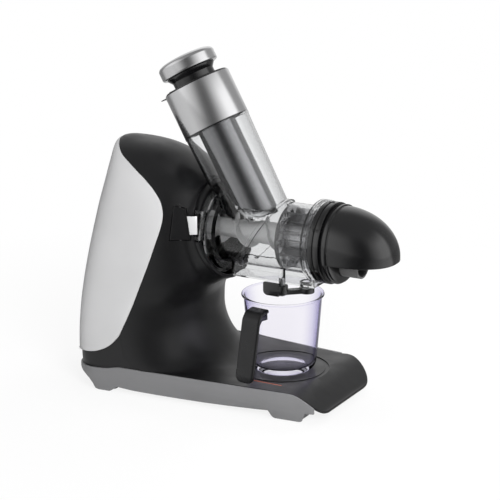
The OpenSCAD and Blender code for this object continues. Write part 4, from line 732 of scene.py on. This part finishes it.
def clear_bowl_finish(look):
    """The bowl's clear plastic, uneven and smokier in the drum, even in the chute above it."""
    mat, tree, bsdf = clear("clear_bowl_moulding", look.clear_tint, 0.015, 1.46)
    split = added(tree, "SeparateXYZ", added(tree, "TexCoord").outputs["Object"])
    mask = added(
        tree, "MapRange", interpolation_type="SMOOTHSTEP", Value=split.outputs["Z"],
        From_Min=DRUM_TOP_Z * MM, From_Max=DRUM_LOW_Z * MM,
    ).outputs["Result"]
    waves = added(tree, "Math", pattern(tree, 70, 1, (2.2, 1, 1)), mask, operation="MULTIPLY")
    grained(tree, bsdf, waves.outputs[0], 0.25, 0.5)
    smoky = [c * 0.97 for c in look.clear_tint]
    fed(tree, bsdf.inputs["Base Color"], ramped(tree, mask, [(0, look.clear_tint), (1, smoky)]))
    return mat


# name, colour, roughness, grain per metre, its depth, then how much roughness and colour vary
MOULDED = {
    "matte_black": ("matte_black_moulding", (0.011, 0.011, 0.012), 0.5, 1500, 0.02),
    "orange": ("orange_strip_moulding", (0.42, 0.10, 0.045), 0.4, 900, 0.01),
    "rubber": ("black_rubber", (0.015, 0.015, 0.015), 0.8, 900, 0.05),
    "grey_rubber": ("grey_silicone", (0.20, 0.20, 0.20), 0.55, 900, 0.02),
    "lip_grey": ("grey_lip_moulding", (0.13, 0.13, 0.13), 0.35, 900, 0.01),
    "auger": ("pale_auger_moulding", (0.74, 0.74, 0.74), 0.28, 900, 0.01),
    "gear_plastic": ("gear_moulding", (0.60, 0.57, 0.48), 0.45, 600, 0.01),
    "board": ("board_green", (0.03, 0.14, 0.07), 0.4, 700, 0.02, 0.05, 0.3),
}
# name, colour, roughness, stretch of the lines and their depth
BRUSHED = {
    "steel": ("plain_steel", (0.55, 0.55, 0.57), 0.3, (4, 40, 40), 0.01),
    "screen": ("strainer_steel", (0.5, 0.5, 0.51), 0.25, (2, 50, 50), 0.01),
    "lamination": ("stacked_sheet", (0.28, 0.28, 0.30), 0.45, (40, 1, 1), 0.05),
    "copper": ("copper_winding", (0.60, 0.26, 0.12), 0.3, (1, 40, 40), 0.08),
}
FINISH = {}


def special(key):
    """A finish with settings of its own or with colours that a user would change."""
    look = SCENE.juicer_finish
    lean = (0, CHUTE_LEAN, 0)
    makers = {
        "satin_black": lambda: moulded(
            "satin_black_moulding", look.body_black, 0.36, 2200, 0.008, Specular_IOR_Level=0.5),
        "grip": lambda: moulded("grip_moulding", look.body_black, 0.30, 1500, 0.010),
        "gloss_black": lambda: moulded(
            "gloss_black_moulding", look.gloss_black, 0.16, 500, 0.002, 0.04, IOR=1.8),
        "skirt_grey": lambda: moulded("grey_skirt_moulding", look.skirt_grey, 0.42, 1700, 0.02, 0.05, 0.07),
        "panel_silver": lambda: moulded(
            "silver_panel_lacquer", look.panel_silver, 0.5, 3400, 0.006, 0.04, 0.03, Specular_IOR_Level=0.25),
        "white": lambda: moulded(
            "milky_moulding", (0.62, 0.62, 0.63), 0.20, 900, 0.01, 0.05, 0.06,
            Transmission_Weight=0.8, IOR=1.3),
        "chrome": lambda: moulded(
            "bright_tab_plating", (0.86, 0.86, 0.87), 0.18, 900, 0.001, 0.03, 0.02, Metallic=0.35),
        "cast": lambda: moulded("cast_metal", (0.42, 0.42, 0.43), 0.5, 500, 0.05, 0.08, 0.15, Metallic=0.9),
        "clear_bowl": lambda: clear_bowl_finish(look),
        "clear_jug": lambda: clear_jug_finish(look),
        "collar": lambda: brushed(
            "brushed_collar_steel", look.bright_metal, 0.20, (70, 70, 1.2), 0.010, lean, Anisotropic=0.4),
        # the pusher's tube is the knob's steel made darker: painted shade for where it stands in the chute
        # behind the clear wall
        "pusher": lambda: brushed(
            "brushed_pusher_steel_painted_shade", look.pusher_metal_painted_shade, 0.16, (70, 70, 1.2), 0.008, lean, Anisotropic=0.4),
        "knob": lambda: brushed(
            "spun_knob_steel", look.bright_metal, 0.20, (1.5, 1.5, 70), 0.006, lean, Anisotropic=0.3),
    }
    return makers[key]()


def finish(key):
    """The finish of this name, made when it is first asked for."""
    if key not in FINISH:
        if key in MOULDED:
            FINISH[key] = moulded(*MOULDED[key])
        elif key in BRUSHED:
            FINISH[key] = brushed(*BRUSHED[key])
        else:
            FINISH[key] = special(key)
    return FINISH[key]


# settings that a user would change


def length_setting(name, description, value):
    """A length that a user would change."""
    return FloatProperty(name=name, description=description, default=value, unit="LENGTH")


def colour_setting(name, description, value):
    """A colour that a user would change."""
    return FloatVectorProperty(name=name, description=description, default=value, subtype="COLOR")


class JuicerSizes(bpy.types.PropertyGroup):
    """Sizes of the looks that the construction leaves open."""

    panel_edge: length_setting("Panel edge", "Rounding of the silver panel's edge", 0.0008)
    seam: length_setting("Seam", "Gap between the panel and the black moulding", 0.0004)
    grip_edge: length_setting("Grip rounding", "Rounding of the jug's grip", 0.0035)
    blend: length_setting("Socket blend", "How softly the socket runs into the column", 0.008)


class JuicerFinish(bpy.types.PropertyGroup):
    """Colours of the finishes."""

    body_black: colour_setting("Body", "Black of the housing", (0.0045, 0.0045, 0.005))
    gloss_black: colour_setting("Gloss", "Black of the glossy mouldings", (0.0022, 0.0022, 0.0025))
    skirt_grey: colour_setting("Skirt", "Grey of the lower moulding", (0.195, 0.195, 0.20))
    panel_silver: colour_setting("Panel", "Silver of the wrapping panel", (0.55, 0.55, 0.555))
    bright_metal: colour_setting("Metal", "Colour of the brushed metal", (0.80, 0.80, 0.81))
    # darker than the bright metal of the knob and the collar, as painted shade of the chute round the
    # pusher's tube
    pusher_metal_painted_shade: colour_setting("Pusher", "Colour of the pusher's tube", (0.40, 0.40, 0.41))
    clear_tint: colour_setting("Bowl", "Tint of the clear bowl", (0.90, 0.905, 0.91))
    jug_tint: colour_setting("Jug", "Tint of the clear jug", (0.95, 0.94, 0.975))
    jug_edge: colour_setting("Jug edge", "Tint of the jug along its edges", (0.36, 0.32, 0.66))


# operators, one for each piece or group of like pieces


def trimmed_shell(name, inset, thick, edge_line, rows, columns):
    """A shell of the loft that wraps the back, trimmed along an edge line on both sides."""
    grid = []
    for h in rows:
        a = edge_angle(h, inset, edge_at(edge_line, h))
        grid.append(arc_row(h, inset, a, 2 * math.pi - a, columns))
    obj = cleaned(grid_mesh(name, grid), 0.05, 0)
    return applied(obj, "SOLIDIFY", thickness=thick * MM, offset=-1, use_even_offset=True)


def at_switch(c):
    """Whether a point lies in the opening of the power switch."""
    return c.x < BACK_WALL_X and abs(c.y) < SWITCH_W / 2 and abs(c.z - SWITCH_Z) < SWITCH_H / 2


class JUICER_OT_panel(bpy.types.Operator):
    """Build the silver panel that wraps the back of the column"""

    bl_idname = "juicer.panel"
    bl_label = "Wrap panel"

    def execute(self, context):
        line = smooth_edge(PANEL_EDGE, 400)
        rows = heights(line, 150)
        rows = np.append(rows[rows < PANEL_TOP_H - 0.0011], PANEL_TOP_H)
        obj = trimmed_shell("wrap_panel_skin", 0, PANEL_T, line, rows, 170)
        softened(obj, context.scene.juicer_sizes.panel_edge / MM, 3, 50)
        cut_open(obj, at_switch)
        dressed(obj, "panel_silver", "housing", "wrap_panel", 35)
        return {"FINISHED"}


class JUICER_OT_rear(bpy.types.Operator):
    """Build the black rear moulding that shows as a band under the panel"""

    bl_idname = "juicer.rear"
    bl_label = "Rear moulding"

    def execute(self, context):
        edge = body_edge()
        rows = np.array([-0.03, -0.02, -0.01, *heights(edge, 110)])
        rows = np.append(rows[rows < REAR_TOP_H - 0.0015], REAR_TOP_H)
        obj = trimmed_shell("rear_housing_shell", PANEL_T + 0.2, BODY_T, edge, rows, 150)
        cut_open(obj, at_switch)
        cut_open(obj, lambda c: c.x < BACK_WALL_X and math.hypot(c.y, c.z - CORD_Z) < CORD_R)
        softened(obj, 0.4, 2, 50)
        dressed(obj, "satin_black", "housing", "rear_housing", 35)
        return {"FINISHED"}


def column_rows():
    """Height shares of the rows of the column: fine in the flare, even above it."""
    flare = [FLARE_R * (1 - math.cos(math.radians(a))) / BODY_H for a in range(0, 91, 3)]
    line = body_edge()
    upper = [h for h in heights(line, 150) if flare[-1] + 0.004 < h < 0.99]
    return line, flare + upper + [0.9905, 0.9925, 0.9942, 0.996, 0.9975, 0.999, 1.0]


class JUICER_OT_front(bpy.types.Operator):
    """Build the black front moulding: column, socket blend, cup and deck"""

    bl_idname = "juicer.front"
    bl_label = "Front moulding"

    def execute(self, context):
        sizes = context.scene.juicer_sizes
        line, rows = column_rows()
        grid = []
        for h in rows:
            a = math.pi if h > CLOSED_H else edge_angle(h, 0, edge_at(line, h) + sizes.seam / MM)
            grid.append(arc_row(h, 0, -a, a, 190))
        outer = grid_mesh("column_skin", grid)
        tree = BVHTree.FromObject(outer, bpy.context.evaluated_depsgraph_get())
        to_face = on_face().inverted()
        near = SOCKET_R + 15

        def in_patch(c):
            p = to_face @ (c * MM) / MM
            return p.z > -75 and math.hypot(p.x, p.y) < near and c.x > -110

        cut_open(outer, in_patch)
        patch = self.socket_patch(tree, near + 2.5, sizes.blend / MM)
        cap = grid_mesh("column_cap", [grid[-1] * [1, k, 1] for k in (1, 0.5, 0.02)])
        skin = joined("column_skin", outer, faced(cap, Vector((0, 0, 1))))
        cleaned(skin, 0.05, 0)
        applied(skin, "SOLIDIFY", thickness=BODY_T * MM, offset=-1, use_even_offset=True)
        away = [(-0.8, -0.8), (0.8, -0.8), (0.8, 0.8), (-0.8, 0.8)]
        pocket = [(x + i, y + j) for (x, y), (i, j) in zip(sized(BUTTON), away)]
        for outline in (pocket, TAB_HOLE):
            holed(patch, outline, on_latch(), LATCH_D - 30)
        cleaned(patch, 0.08, 0)
        applied(patch, "SOLIDIFY", thickness=PATCH_T * MM, offset=-1, use_even_offset=False)
        inner, side, back = CAVITY_R, CAVITY_R + 2, -SOCKET_L - BODY_T
        wall = [
            (inner + 1.6, 0), (inner, 0), (inner, -SOCKET_L), (SHAFT_HOLE_R, -SOCKET_L),
            (SHAFT_HOLE_R, back), (side, back), (side, -2),
        ]
        seat = on_axis(FACE_X) @ at(0, -3)
        cup = turned("socket_cup", arced(wall, [0, 0.5, 2, 0.6, 0, 3, 0], 4), seat, 128, False)
        cut_open(cup, lambda c: (to_face @ (c * MM)).z / MM > -4.8)
        obj = joined("front_housing_skin", skin, patch, cup, self.deck())
        dressed(obj, "satin_black", "housing", "front_housing", 38)
        return {"FINISHED"}

    def deck(self):
        """The deck with its rolled nose, the ring groove of the jug and the strip's slot."""
        roll = catmull(DECK_ROLL, np.linspace(0, len(DECK_ROLL) - 1, 400))
        edge = 1.3
        rings = [(74, -BODY_T), (40, -BODY_T), (1.0, -BODY_T), (0.25, -BODY_T + 0.3), (0, -BODY_T + 0.8)]
        for t in range(0, 91, 15):
            a = math.radians(t)
            rings.append((edge * (1 - math.cos(a)), -edge * (1 - math.sin(a))))
        rings += [(d, 0) for d in (2, 3.2, 5, 8, 12, 17, 23, 30, 40, 56, 74)]
        rows = []
        for d, drop in rings:
            wide, slim = base_outline(d, d), base_outline(d + RIM_W, d)
            # on the far side of the nose the deck reaches out over the skirt's rim
            f = np.where(wide[:, 1] < 0, 0, np.clip((wide[:, 0] - LIP_X) / LIP_RUN, 0, 1))[:, None]
            flat = wide * f + slim * (1 - f)
            z = np.interp(flat[:, 0], BASE_X + roll[:, 0] * BASE_L, roll[:, 1] * DECK_Z)
            rows.append(np.column_stack([flat, z + drop]))
        deck = capped(grid_mesh("deck", rows, True))
        x0, x1, y1 = BASE_X - 73, BASE_X + BASE_L * 0.30, 140
        carved(deck, prism("behind", [(x0, -y1), (x1, -y1), (x1, y1), (x0, y1)], 0, 60))
        low, high, soft = DECK_Z - GROOVE_D, DECK_Z + 3, 0.3
        groove = [
            (GROOVE_OUT_R, low + soft), (GROOVE_OUT_R, high), (GROOVE_IN_R, high), (GROOVE_IN_R, low + soft),
            (GROOVE_IN_R + soft, low), (GROOVE_OUT_R - soft, low), (GROOVE_OUT_R, low + soft),
        ]
        carved(deck, turned("groove", groove, at(JUG_X, 0), 160))
        play = 0.1
        x0, y0 = JUG_X - GROOVE_OUT_R * 0.27 - play, -GROOVE_OUT_R - STRIP_W * 1.2 - play
        x1, y1 = x0 + STRIP_L + 2 * play, y0 + STRIP_W + 2 * play
        return carved(deck, prism("slot", [(x0, y0), (x1, y0), (x1, y1), (x0, y1)], low, high))

    def socket_patch(self, tree, reach, soft):
        """The ring where the socket's cone runs softly into the column."""
        face = on_face()
        out = (face.to_3x3() @ Vector((0, 0, 1))).normalized()
        radii = [reach, reach - 1.5, *np.arange(reach - 3, 69.0, -1.2), *np.arange(68.6, SOCKET_R, -0.35)]
        radii += [SOCKET_R, 61.6, 60.5, 58.5, 57.0]
        rows = []
        for r in radii:
            cone = -5 - max(r - SOCKET_R, 0) * CONE_FALL
            fade = min(1, max(0, (reach - r) / 9)) ** 0.7
            row = []
            for k in range(180):
                a = 2 * math.pi * k / 180
                x, y = r * math.cos(a) * MM, r * math.sin(a) * MM
                hit, _, _, _ = tree.ray_cast(face @ Vector((x, y, 0.09)), -out)
                ground = -90.0 if hit is None else (hit - face.translation).dot(out) / MM
                rise = cone - ground
                d = ground + 0.5 * (rise + math.sqrt(rise * rise + soft * soft)) * fade + 0.02
                if r <= SOCKET_R:
                    d = -5.0
                row.append(face @ Vector((x, y, d * MM)) / MM)
            rows.append(row)
        return faced(grid_mesh("socket_blend", rows, True), out)


class JUICER_OT_base(bpy.types.Operator):
    """Build the grey skirt, the feet and the small pieces of the base"""

    bl_idname = "juicer.base"
    bl_label = "Base"

    def execute(self, context):
        rounded_copy("base_skirt", "skirt", "skirt_grey", "housing", "grey_skirt", 0.6)
        rounded_copy("deck_strip", "deck_strip_bar", "orange", "housing", "orange_strip", 0.25, 2, 35, 32)
        rounded_copy("rubber_feet", "foot_pads", "rubber", "housing", "rubber", 0.4, 2, 35, 32)
        return {"FINISHED"}


class JUICER_OT_latch(bpy.types.Operator):
    """Build the socket ring, the release button and its bright tab"""

    bl_idname = "juicer.latch"
    bl_label = "Socket ring and latch"

    def execute(self, context):
        for row in (
            ("socket_ring", "mouth_ring", "satin_black", "housing", "black_body", 0.8),
            ("latch_tab", "latch_tab_plate", "chrome", "latch", "chrome", 0.35),
            ("switch_frame", "switch_bezel", "matte_black", "housing", "black_matte", 0.5),
            ("power_rocker", "rocker_key", "gloss_black", "rocker", "black_gloss", 0.4),
        ):
            rounded_copy(*row)
        block = softened(prism("button_block", sized(BUTTON), LATCH_D - 7.5, LATCH_D), 0.9, 4, 40)
        ridge = softened(prism("button_ridge", sized(RIDGE), LATCH_D - 1, LATCH_D + 1.2), 0.3, 2, 40)
        obj = placed(joined("release_button_block", block, ridge), on_latch())
        dressed(obj, "satin_black", "latch", "release_button", 30)
        return {"FINISHED"}


class JUICER_OT_bowl(bpy.types.Operator):
    """Build the clear bowl, the screen and the auger in it"""

    bl_idname = "juicer.bowl"
    bl_label = "Bowl and auger"

    def execute(self, context):
        bowl = node_copy("bowl", "clear_bowl", 0.03, 0.3)
        dressed(bowl, "clear_bowl", "bowl", "bowl", 32)
        auger = node_copy("auger", "auger_screw", 0.03, 0)
        dressed(auger, "auger", "auger", "auger", 45)
        rounded_copy("strainer_cage", "cage_frame", "white", "bowl", "white_plastic", 0.3, 2, 35, 32)
        return {"FINISHED"}


class JUICER_OT_chute(bpy.types.Operator):
    """Build the collar and the lid of the chute"""

    bl_idname = "juicer.chute"
    bl_label = "Collar and lid"

    def execute(self, context):
        low, high, top = CHUTE_R - COLLAR_T / 2, CHUTE_R + COLLAR_T / 2, COLLAR_HIGH - COLLAR_LOW
        ring = [(low, 0), (high, 0), (high, top), (low, top), (low, 0)]
        collar = turned("collar_sleeve", arced(ring, [0, 0.3, 0.3, 0.3, 0], 3), on_chute(COLLAR_LOW), 160)
        dressed(collar, "collar", "bowl", "chute_collar", 40)
        rounded_copy("chute_lid", "lid_plate", "gloss_black", "lid", "black_gloss", 0.35, 3, 40, 35)
        return {"FINISHED"}


class JUICER_OT_pusher(bpy.types.Operator):
    """Build the pusher: tube, clear tip, black neck and metal knob"""

    bl_idname = "juicer.pusher"
    bl_label = "Pusher"

    def execute(self, context):
        tube = node_copy("pusher_tube", "pusher_sleeve", 0.02, 0.3)
        dressed(tube, "pusher", "pusher", "pusher_tube", 40)
        tip = node_copy("pusher_tip", "pusher_end", 0.02, 0.3)
        dressed(softened(tip, 0.5, 3, 30), "clear_bowl", "pusher", "pusher_tip", 30)
        r, h = PUSHER_R, NECK_H
        outline = [
            (r * 0.9, -4.5), (r * 0.95, -4.5), (r * 0.95, 0), (r * 1.085, 0), (r * 1.085, h * 0.55),
            (r * 1.29, h), (r * 0.6, h), (r * 0.6, -4.5), (r * 0.9, -4.5),
        ]
        outline = arced(outline, [0, 0.3, 0.3, 0.8, 3, 0.6, 0, 0, 0], 4)
        neck = turned("neck_ring", outline, on_chute(NECK_S), 128)
        dressed(neck, "gloss_black", "pusher", "pusher_neck", 40)
        r, h = KNOB_R, KNOB_H
        outline = [
            (0.01, 0.01), (r * 0.94, 0.01), (r * 0.985, h * 0.05), (r, h * 0.12), (r, h * 0.63),
            (r * 0.955, h * 0.775), (r * 0.80, h * 0.885), (r * 0.45, h * 0.965), (0.01, h),
        ]
        outline = arced(outline, [0, 0.6, 0.8, 1.5, 3.6, 5, 14, 30, 0], 7)
        knob = turned("knob_cap", outline, on_chute(KNOB_S), 160)
        dressed(knob, "knob", "pusher", "pusher_knob", 50)
        return {"FINISHED"}


class JUICER_OT_front_end(bpy.types.Operator):
    """Build the ring nut, the hood with its dome and the outlet lip"""

    bl_idname = "juicer.front_end"
    bl_label = "Nut, hood and lip"

    def execute(self, context):
        rounded_copy("front_nut", "ring_nut", "gloss_black", "nut", "black_gloss", 0.45)
        base = node_copy("pulp_hood", "hood_base", 0.03, 0.3)
        cut_open(base, lambda c: c.x > DOME_X + 0.4)
        softened(base, 0.4, 2, 45)
        hood = joined("hood_shell", base, self.dome())
        dressed(hood, "gloss_black", "bowl", "pulp_hood", 40)
        rounded_copy("pulp_spout", "outlet_lip", "lip_grey", "bowl", "grey_lip", 0.4, 3, 40, 35)
        return {"FINISHED"}

    def dome(self):
        """The half dome, open below, as rows from the flange to the tip."""
        rim = AXIS_Z - HOOD_R * 0.33

        def edge(u, power):
            return max(1 - min(max(u, 0), 1) ** power, 0) ** (1 / power)

        rows = []
        for u in [-0.02] + [1 - (1 - i / 60) ** 1.9 for i in range(61)]:
            w = max(HOOD_R * edge(u, 2.35), 0.3)
            side = AXIS_Z - HOOD_R * 0.24 * max(u, 0)
            up = max((HOOD_R + (AXIS_Z - side) * 0.62) * edge(u, 2.05), 0.3)
            x = DOME_X + u * (TIP_X - DOME_X)
            row = [(x, -w, rim + (side - rim) * k / 6) for k in range(6)]
            for k in range(73):
                a = math.pi * k / 72
                row.append((x, -w * math.cos(a), side + up * math.sin(a)))
            row += [(x, w, side + (rim - side) * k / 6) for k in range(1, 7)]
            rows.append(row[::-1])
        obj = cleaned(faced(grid_mesh("dome", rows), Vector((0, 0, 1))), 0.05, 0)
        applied(obj, "SOLIDIFY", thickness=HOOD_T * MM, offset=-1, use_even_offset=False)
        return softened(obj, 0.5, 3, 60)


class JUICER_OT_lever(bpy.types.Operator):
    """Build the drip lever"""

    bl_idname = "juicer.lever"
    bl_label = "Drip lever"

    def execute(self, context):
        rounded_copy("drip_lever", "drip_lever_arm", "gloss_black", "lever", "black_gloss", 0.5)
        return {"FINISHED"}


class JUICER_OT_jug(bpy.types.Operator):
    """Build the clear jug and its black grip"""

    bl_idname = "juicer.jug"
    bl_label = "Jug"

    def execute(self, context):
        h, r, t, wider = JUG_H, JUG_FOOT_R, JUG_T, JUG_R - JUG_FOOT_R
        turn = [math.radians(a) for a in range(0, 91, 9)]
        # share of the widening and height share, up the wall
        wall = [(r + wider * a, h * b) for a, b in ((0.2, 0.35), (0.42, 0.60), (0.62, 0.85), (0.70, 0.95))]
        outer = [(0.01, h * 0.012), (r * 0.62, h * 0.012), (r * 0.66, 0), (r * 0.74, 0)]
        outer += [(r * 0.76 + r * 0.24 * math.sin(a), h * 0.125 * (1 - math.cos(a))) for a in turn]
        outer += wall + [(r + wider * 0.80, h * 0.968)]
        # way in from the rim's radius and height share, round the rim
        bead = ((0.3, 0.977), (0, 0.986), (0.35, 0.997), (1.0, 1), (1.8, 0.997))
        outer += [(JUG_R - a, h * b) for a, b in bead] + [(r + wider * 0.78 - t, h * 0.985)]
        inner = [(0.01, h * 0.068)]
        for a in turn:
            up = (h * 0.125 - t * 0.8) * (1 - math.cos(a))
            inner.append((r * 0.76 + (r * 0.24 - t) * math.sin(a), h * 0.068 + up))
        inner += [(a - t, b) for a, b in wall]
        jug = turned("jug_wall", outer + inner[::-1], at(JUG_X, JUG_Z), 160)
        line = grip_line(GRIP_MID, [0, 4, 9, 2, 0])
        below = grip_line(GRIP_IN, [0, 3, 7, 2, 0])
        under = band("under_grip", below, line, GRIP_W * 0.82, 2.5, 1.2, GRIP_TURN)
        jug = joined("jug_wall", jug, under)
        dressed(jug, "clear_jug", "jug", "jug", 50)
        soft = context.scene.juicer_sizes.grip_edge / MM
        grip = band("grip_handle", line, grip_line(GRIP_OUT, [0, 8, 12, 3, 0]), GRIP_W, 9.0, soft, GRIP_TURN)
        dressed(grip, "grip", "jug", "jug_grip", 60)
        return {"FINISHED"}


PLAIN_NODES = {
    "bottom_plate": "matte_black", "housing_screws": "steel", "latch_pin": "steel", "latch_spring": "steel",
    "motor_stator": "lamination", "motor_windings": "copper", "motor_brackets": "cast",
    "motor_bearings": "steel", "gear_case": "cast", "gear_cover": "cast", "cover_screws": "steel",
    "shaft_bearings": "steel", "shaft_seal": "rubber", "control_board": "board", "cord_gland": "rubber",
    "output_gear": "gear_plastic", "output_shaft": "steel", "lay_shaft": "steel", "lay_gear": "gear_plastic",
    "lay_pinion": "steel", "motor_shaft": "steel", "motor_pinion": "steel", "cooling_fan": "matte_black",
    "bowl_gasket": "grey_rubber", "auger_seal": "grey_rubber", "strainer": "screen", "auger_bush": "white",
    "nut_seal": "grey_rubber", "lever_pin": "steel", "lever_plug": "grey_rubber",
}


class JUICER_OT_inside(bpy.types.Operator):
    """Give the construction nodes that stay their finishes"""

    bl_idname = "juicer.inside"
    bl_label = "Inner pieces"

    def execute(self, context):
        for node, obj in NODES.items():
            if node in PLAIN_NODES:
                obj.data.materials.clear()
                obj.data.materials.append(finish(PLAIN_NODES[node]))
            elif not obj.hide_render:
                raise RuntimeError(f"{node} has no finish")
        return {"FINISHED"}


class JUICER_OT_stage(bpy.types.Operator):
    """Set the floor, the backdrop's light, the lamps and the camera"""

    bl_idname = "juicer.stage"
    bl_label = "Stage"

    def execute(self, context):
        self.floor()
        self.world()
        # name, place, aim, width in metres and power in watts
        for name, place, aim, size, power in (
            ("key", (1.75, -1.5, 1.5), (0.0, 0, 0.15), 1.1, 66),
            ("top", (0.1, 0.3, 2.2), (0, 0, 0.1), 1.3, 14),
            ("rear", (0.6, 1.9, 1.2), (0, 0, 0.15), 1.0, 18),
        ):
            lamp = bpy.data.lights.new(name, "AREA")
            lamp.shape, lamp.size, lamp.energy = "DISK", size, power
            obj = linked(name, lamp)
            obj.location = place
            obj.rotation_euler = (Vector(aim) - Vector(place)).to_track_quat("-Z", "Y").to_euler()
            obj.visible_glossy = obj.visible_transmission = False
        # the camera as it was solved from the photograph's lines
        cam = bpy.data.cameras.new("camera")
        cam.lens, cam.sensor_width = 129.6, 36
        cam.clip_start, cam.clip_end = 0.05, 50
        obj = linked("camera", cam)
        right = Vector((0.86721, 0.49787, -0.00838))
        up = Vector((-0.13193, 0.24597, 0.96026))
        back = Vector((0.48015, -0.83164, 0.27899))
        turn = Matrix((right, up, back)).transposed().to_4x4()
        obj.matrix_world = Matrix.Translation((1.04328, -1.80104, 0.77856)) @ turn
        SCENE.camera = obj
        SCENE.view_settings.view_transform = "Standard"
        return {"FINISHED"}

    def mixed(self, tree, share, first, second):
        """One shader mixed over another."""
        return added(tree, "MixShader", share, first, second).outputs[0]

    def rays(self, tree):
        """One for rays that come straight or through clear pieces, and one for mirrored rays."""
        path = added(tree, "LightPath").outputs
        total = added(tree, "Math", path["Glossy Depth"], path["Diffuse Depth"]).outputs[0]
        straight = added(tree, "Math", total, 0.5, operation="LESS_THAN")
        bounced = added(tree, "Math", path["Glossy Depth"], 0.5, operation="GREATER_THAN")
        return straight.outputs[0], bounced.outputs[0]

    def softboxes(self, tree, way):
        """The light seen along a way: boxes at the left, right and back, a dark strip at the camera."""
        # the camera's right and the way to it, in plan
        across, along = (
            added(tree, "VectorMath", way, side, operation="DOT_PRODUCT").outputs["Value"]
            for side in ((0.867, 0.498, 0.0), (0.498, -0.867, 0.0))
        )
        angle = added(tree, "Math", across, along, operation="ARCTAN2").outputs[0]
        part = added(tree, "MapRange", Value=angle, From_Min=-math.pi, From_Max=math.pi)
        # degrees from the camera and strength
        boxes = (
            (-180, 0.75), (-150, 0.28), (-122, 0.20), (-104, 0.66), (-60, 0.72), (-32, 0.42), (-14, 0.12),
            (0, 0.06), (14, 0.12), (32, 0.45), (60, 0.95), (92, 1.0), (102, 0.25), (140, 0.28),
            (158, 0.62), (180, 0.75),
        )
        stops = [(turn / 360 + 0.5, (value, value, value)) for turn, value in boxes]
        return ramped(tree, part.outputs["Result"], stops)

    def floor(self):
        """A pale floor that keeps the object's soft shadow."""
        alone()
        bpy.ops.mesh.primitive_plane_add(size=30, location=(0, 0, 0))
        obj = bpy.context.active_object
        obj.name = "floor"
        mat, tree, bsdf = shader("pale_floor", (0.9, 0.9, 0.9), Roughness=0.8, Specular_IOR_Level=0.1)
        coords = added(tree, "TexCoord").outputs["Object"]
        away = added(tree, "VectorMath", coords, operation="LENGTH").outputs["Value"]
        fade = added(tree, "MapRange", Value=away, From_Min=0.25, From_Max=0.8, To_Min=0.86, To_Max=1.0)
        white = added(tree, "Emission", Strength=1.0).outputs[0]
        dim = added(tree, "Emission", Strength=0.9, Color=self.softboxes(tree, coords)).outputs[0]
        straight, bounced = self.rays(tree)
        plain = bsdf.outputs[0]
        seen = self.mixed(tree, fade.outputs["Result"], plain, white)
        mix = self.mixed(tree, straight, self.mixed(tree, bounced, plain, dim), seen)
        fed(tree, tree.nodes["Material Output"].inputs["Surface"], mix)
        obj.data.materials.append(mat)

    def world(self):
        """White where it is seen, dim for the light, and softboxes for reflections."""
        world = SCENE.world or bpy.data.worlds.new("studio")
        SCENE.world = world
        world.use_nodes = True
        tree = world.node_tree
        # what lies behind clear walls gets no lamp light, so its soft light is stronger
        through = added(tree, "LightPath").outputs["Is Transmission Ray"]
        behind = added(tree, "MapRange", Value=through, To_Min=0.24, To_Max=1.3)
        soft = tree.nodes["Background"]
        soft.inputs["Color"].default_value = (1, 1, 1, 1)
        fed(tree, soft.inputs["Strength"], behind.outputs["Result"])
        way = added(tree, "TexCoord").outputs["Generated"]
        up = added(tree, "SeparateXYZ", way).outputs["Z"]
        above = added(
            tree, "MapRange", interpolation_type="SMOOTHSTEP", Value=up, From_Min=0.50, From_Max=0.90)
        boxes = self.softboxes(tree, way)
        light = added(tree, "Mix", data_type="FLOAT", Factor=above.outputs["Result"], A=boxes, B=0.20)
        studio = added(tree, "Background", Color=light.outputs["Result"], Strength=1.25).outputs[0]
        white = added(tree, "Background", Color=(1, 1, 1, 1)).outputs[0]
        straight, bounced = self.rays(tree)
        mix = self.mixed(tree, straight, self.mixed(tree, bounced, soft.outputs[0], studio), white)
        fed(tree, tree.nodes["World Output"].inputs["Surface"], mix)


class JUICER_PT_panel(bpy.types.Panel):
    """The operators and settings in the sidebar"""

    bl_idname = "JUICER_PT_panel"
    bl_label = "Slow juicer"
    bl_space_type = "VIEW_3D"
    bl_region_type = "UI"
    bl_category = "Juicer"

    def draw(self, context):
        for group in (context.scene.juicer_sizes, context.scene.juicer_finish):
            for key in group.bl_rna.properties.keys():
                if key not in ("rna_type", "name"):
                    self.layout.prop(group, key)
        for operator in OPERATORS:
            self.layout.operator(operator.bl_idname)


OPERATORS = (
    JUICER_OT_panel, JUICER_OT_rear, JUICER_OT_front, JUICER_OT_base, JUICER_OT_latch, JUICER_OT_bowl,
    JUICER_OT_chute, JUICER_OT_pusher, JUICER_OT_front_end, JUICER_OT_lever, JUICER_OT_jug,
    JUICER_OT_inside, JUICER_OT_stage,
)
CLASSES = (JuicerSizes, JuicerFinish, *OPERATORS, JUICER_PT_panel)


def register():
    for cls in CLASSES:
        bpy.utils.register_class(cls)
    bpy.types.Scene.juicer_sizes = PointerProperty(type=JuicerSizes)
    bpy.types.Scene.juicer_finish = PointerProperty(type=JuicerFinish)


def unregister():
    del bpy.types.Scene.juicer_sizes
    del bpy.types.Scene.juicer_finish
    for cls in reversed(CLASSES):
        bpy.utils.unregister_class(cls)


def main():
    register()
    for operator in OPERATORS:
        group, name = operator.bl_idname.split(".")
        getattr(getattr(bpy.ops, group), name)()
    alone()


if __name__ == "__main__":
    main()
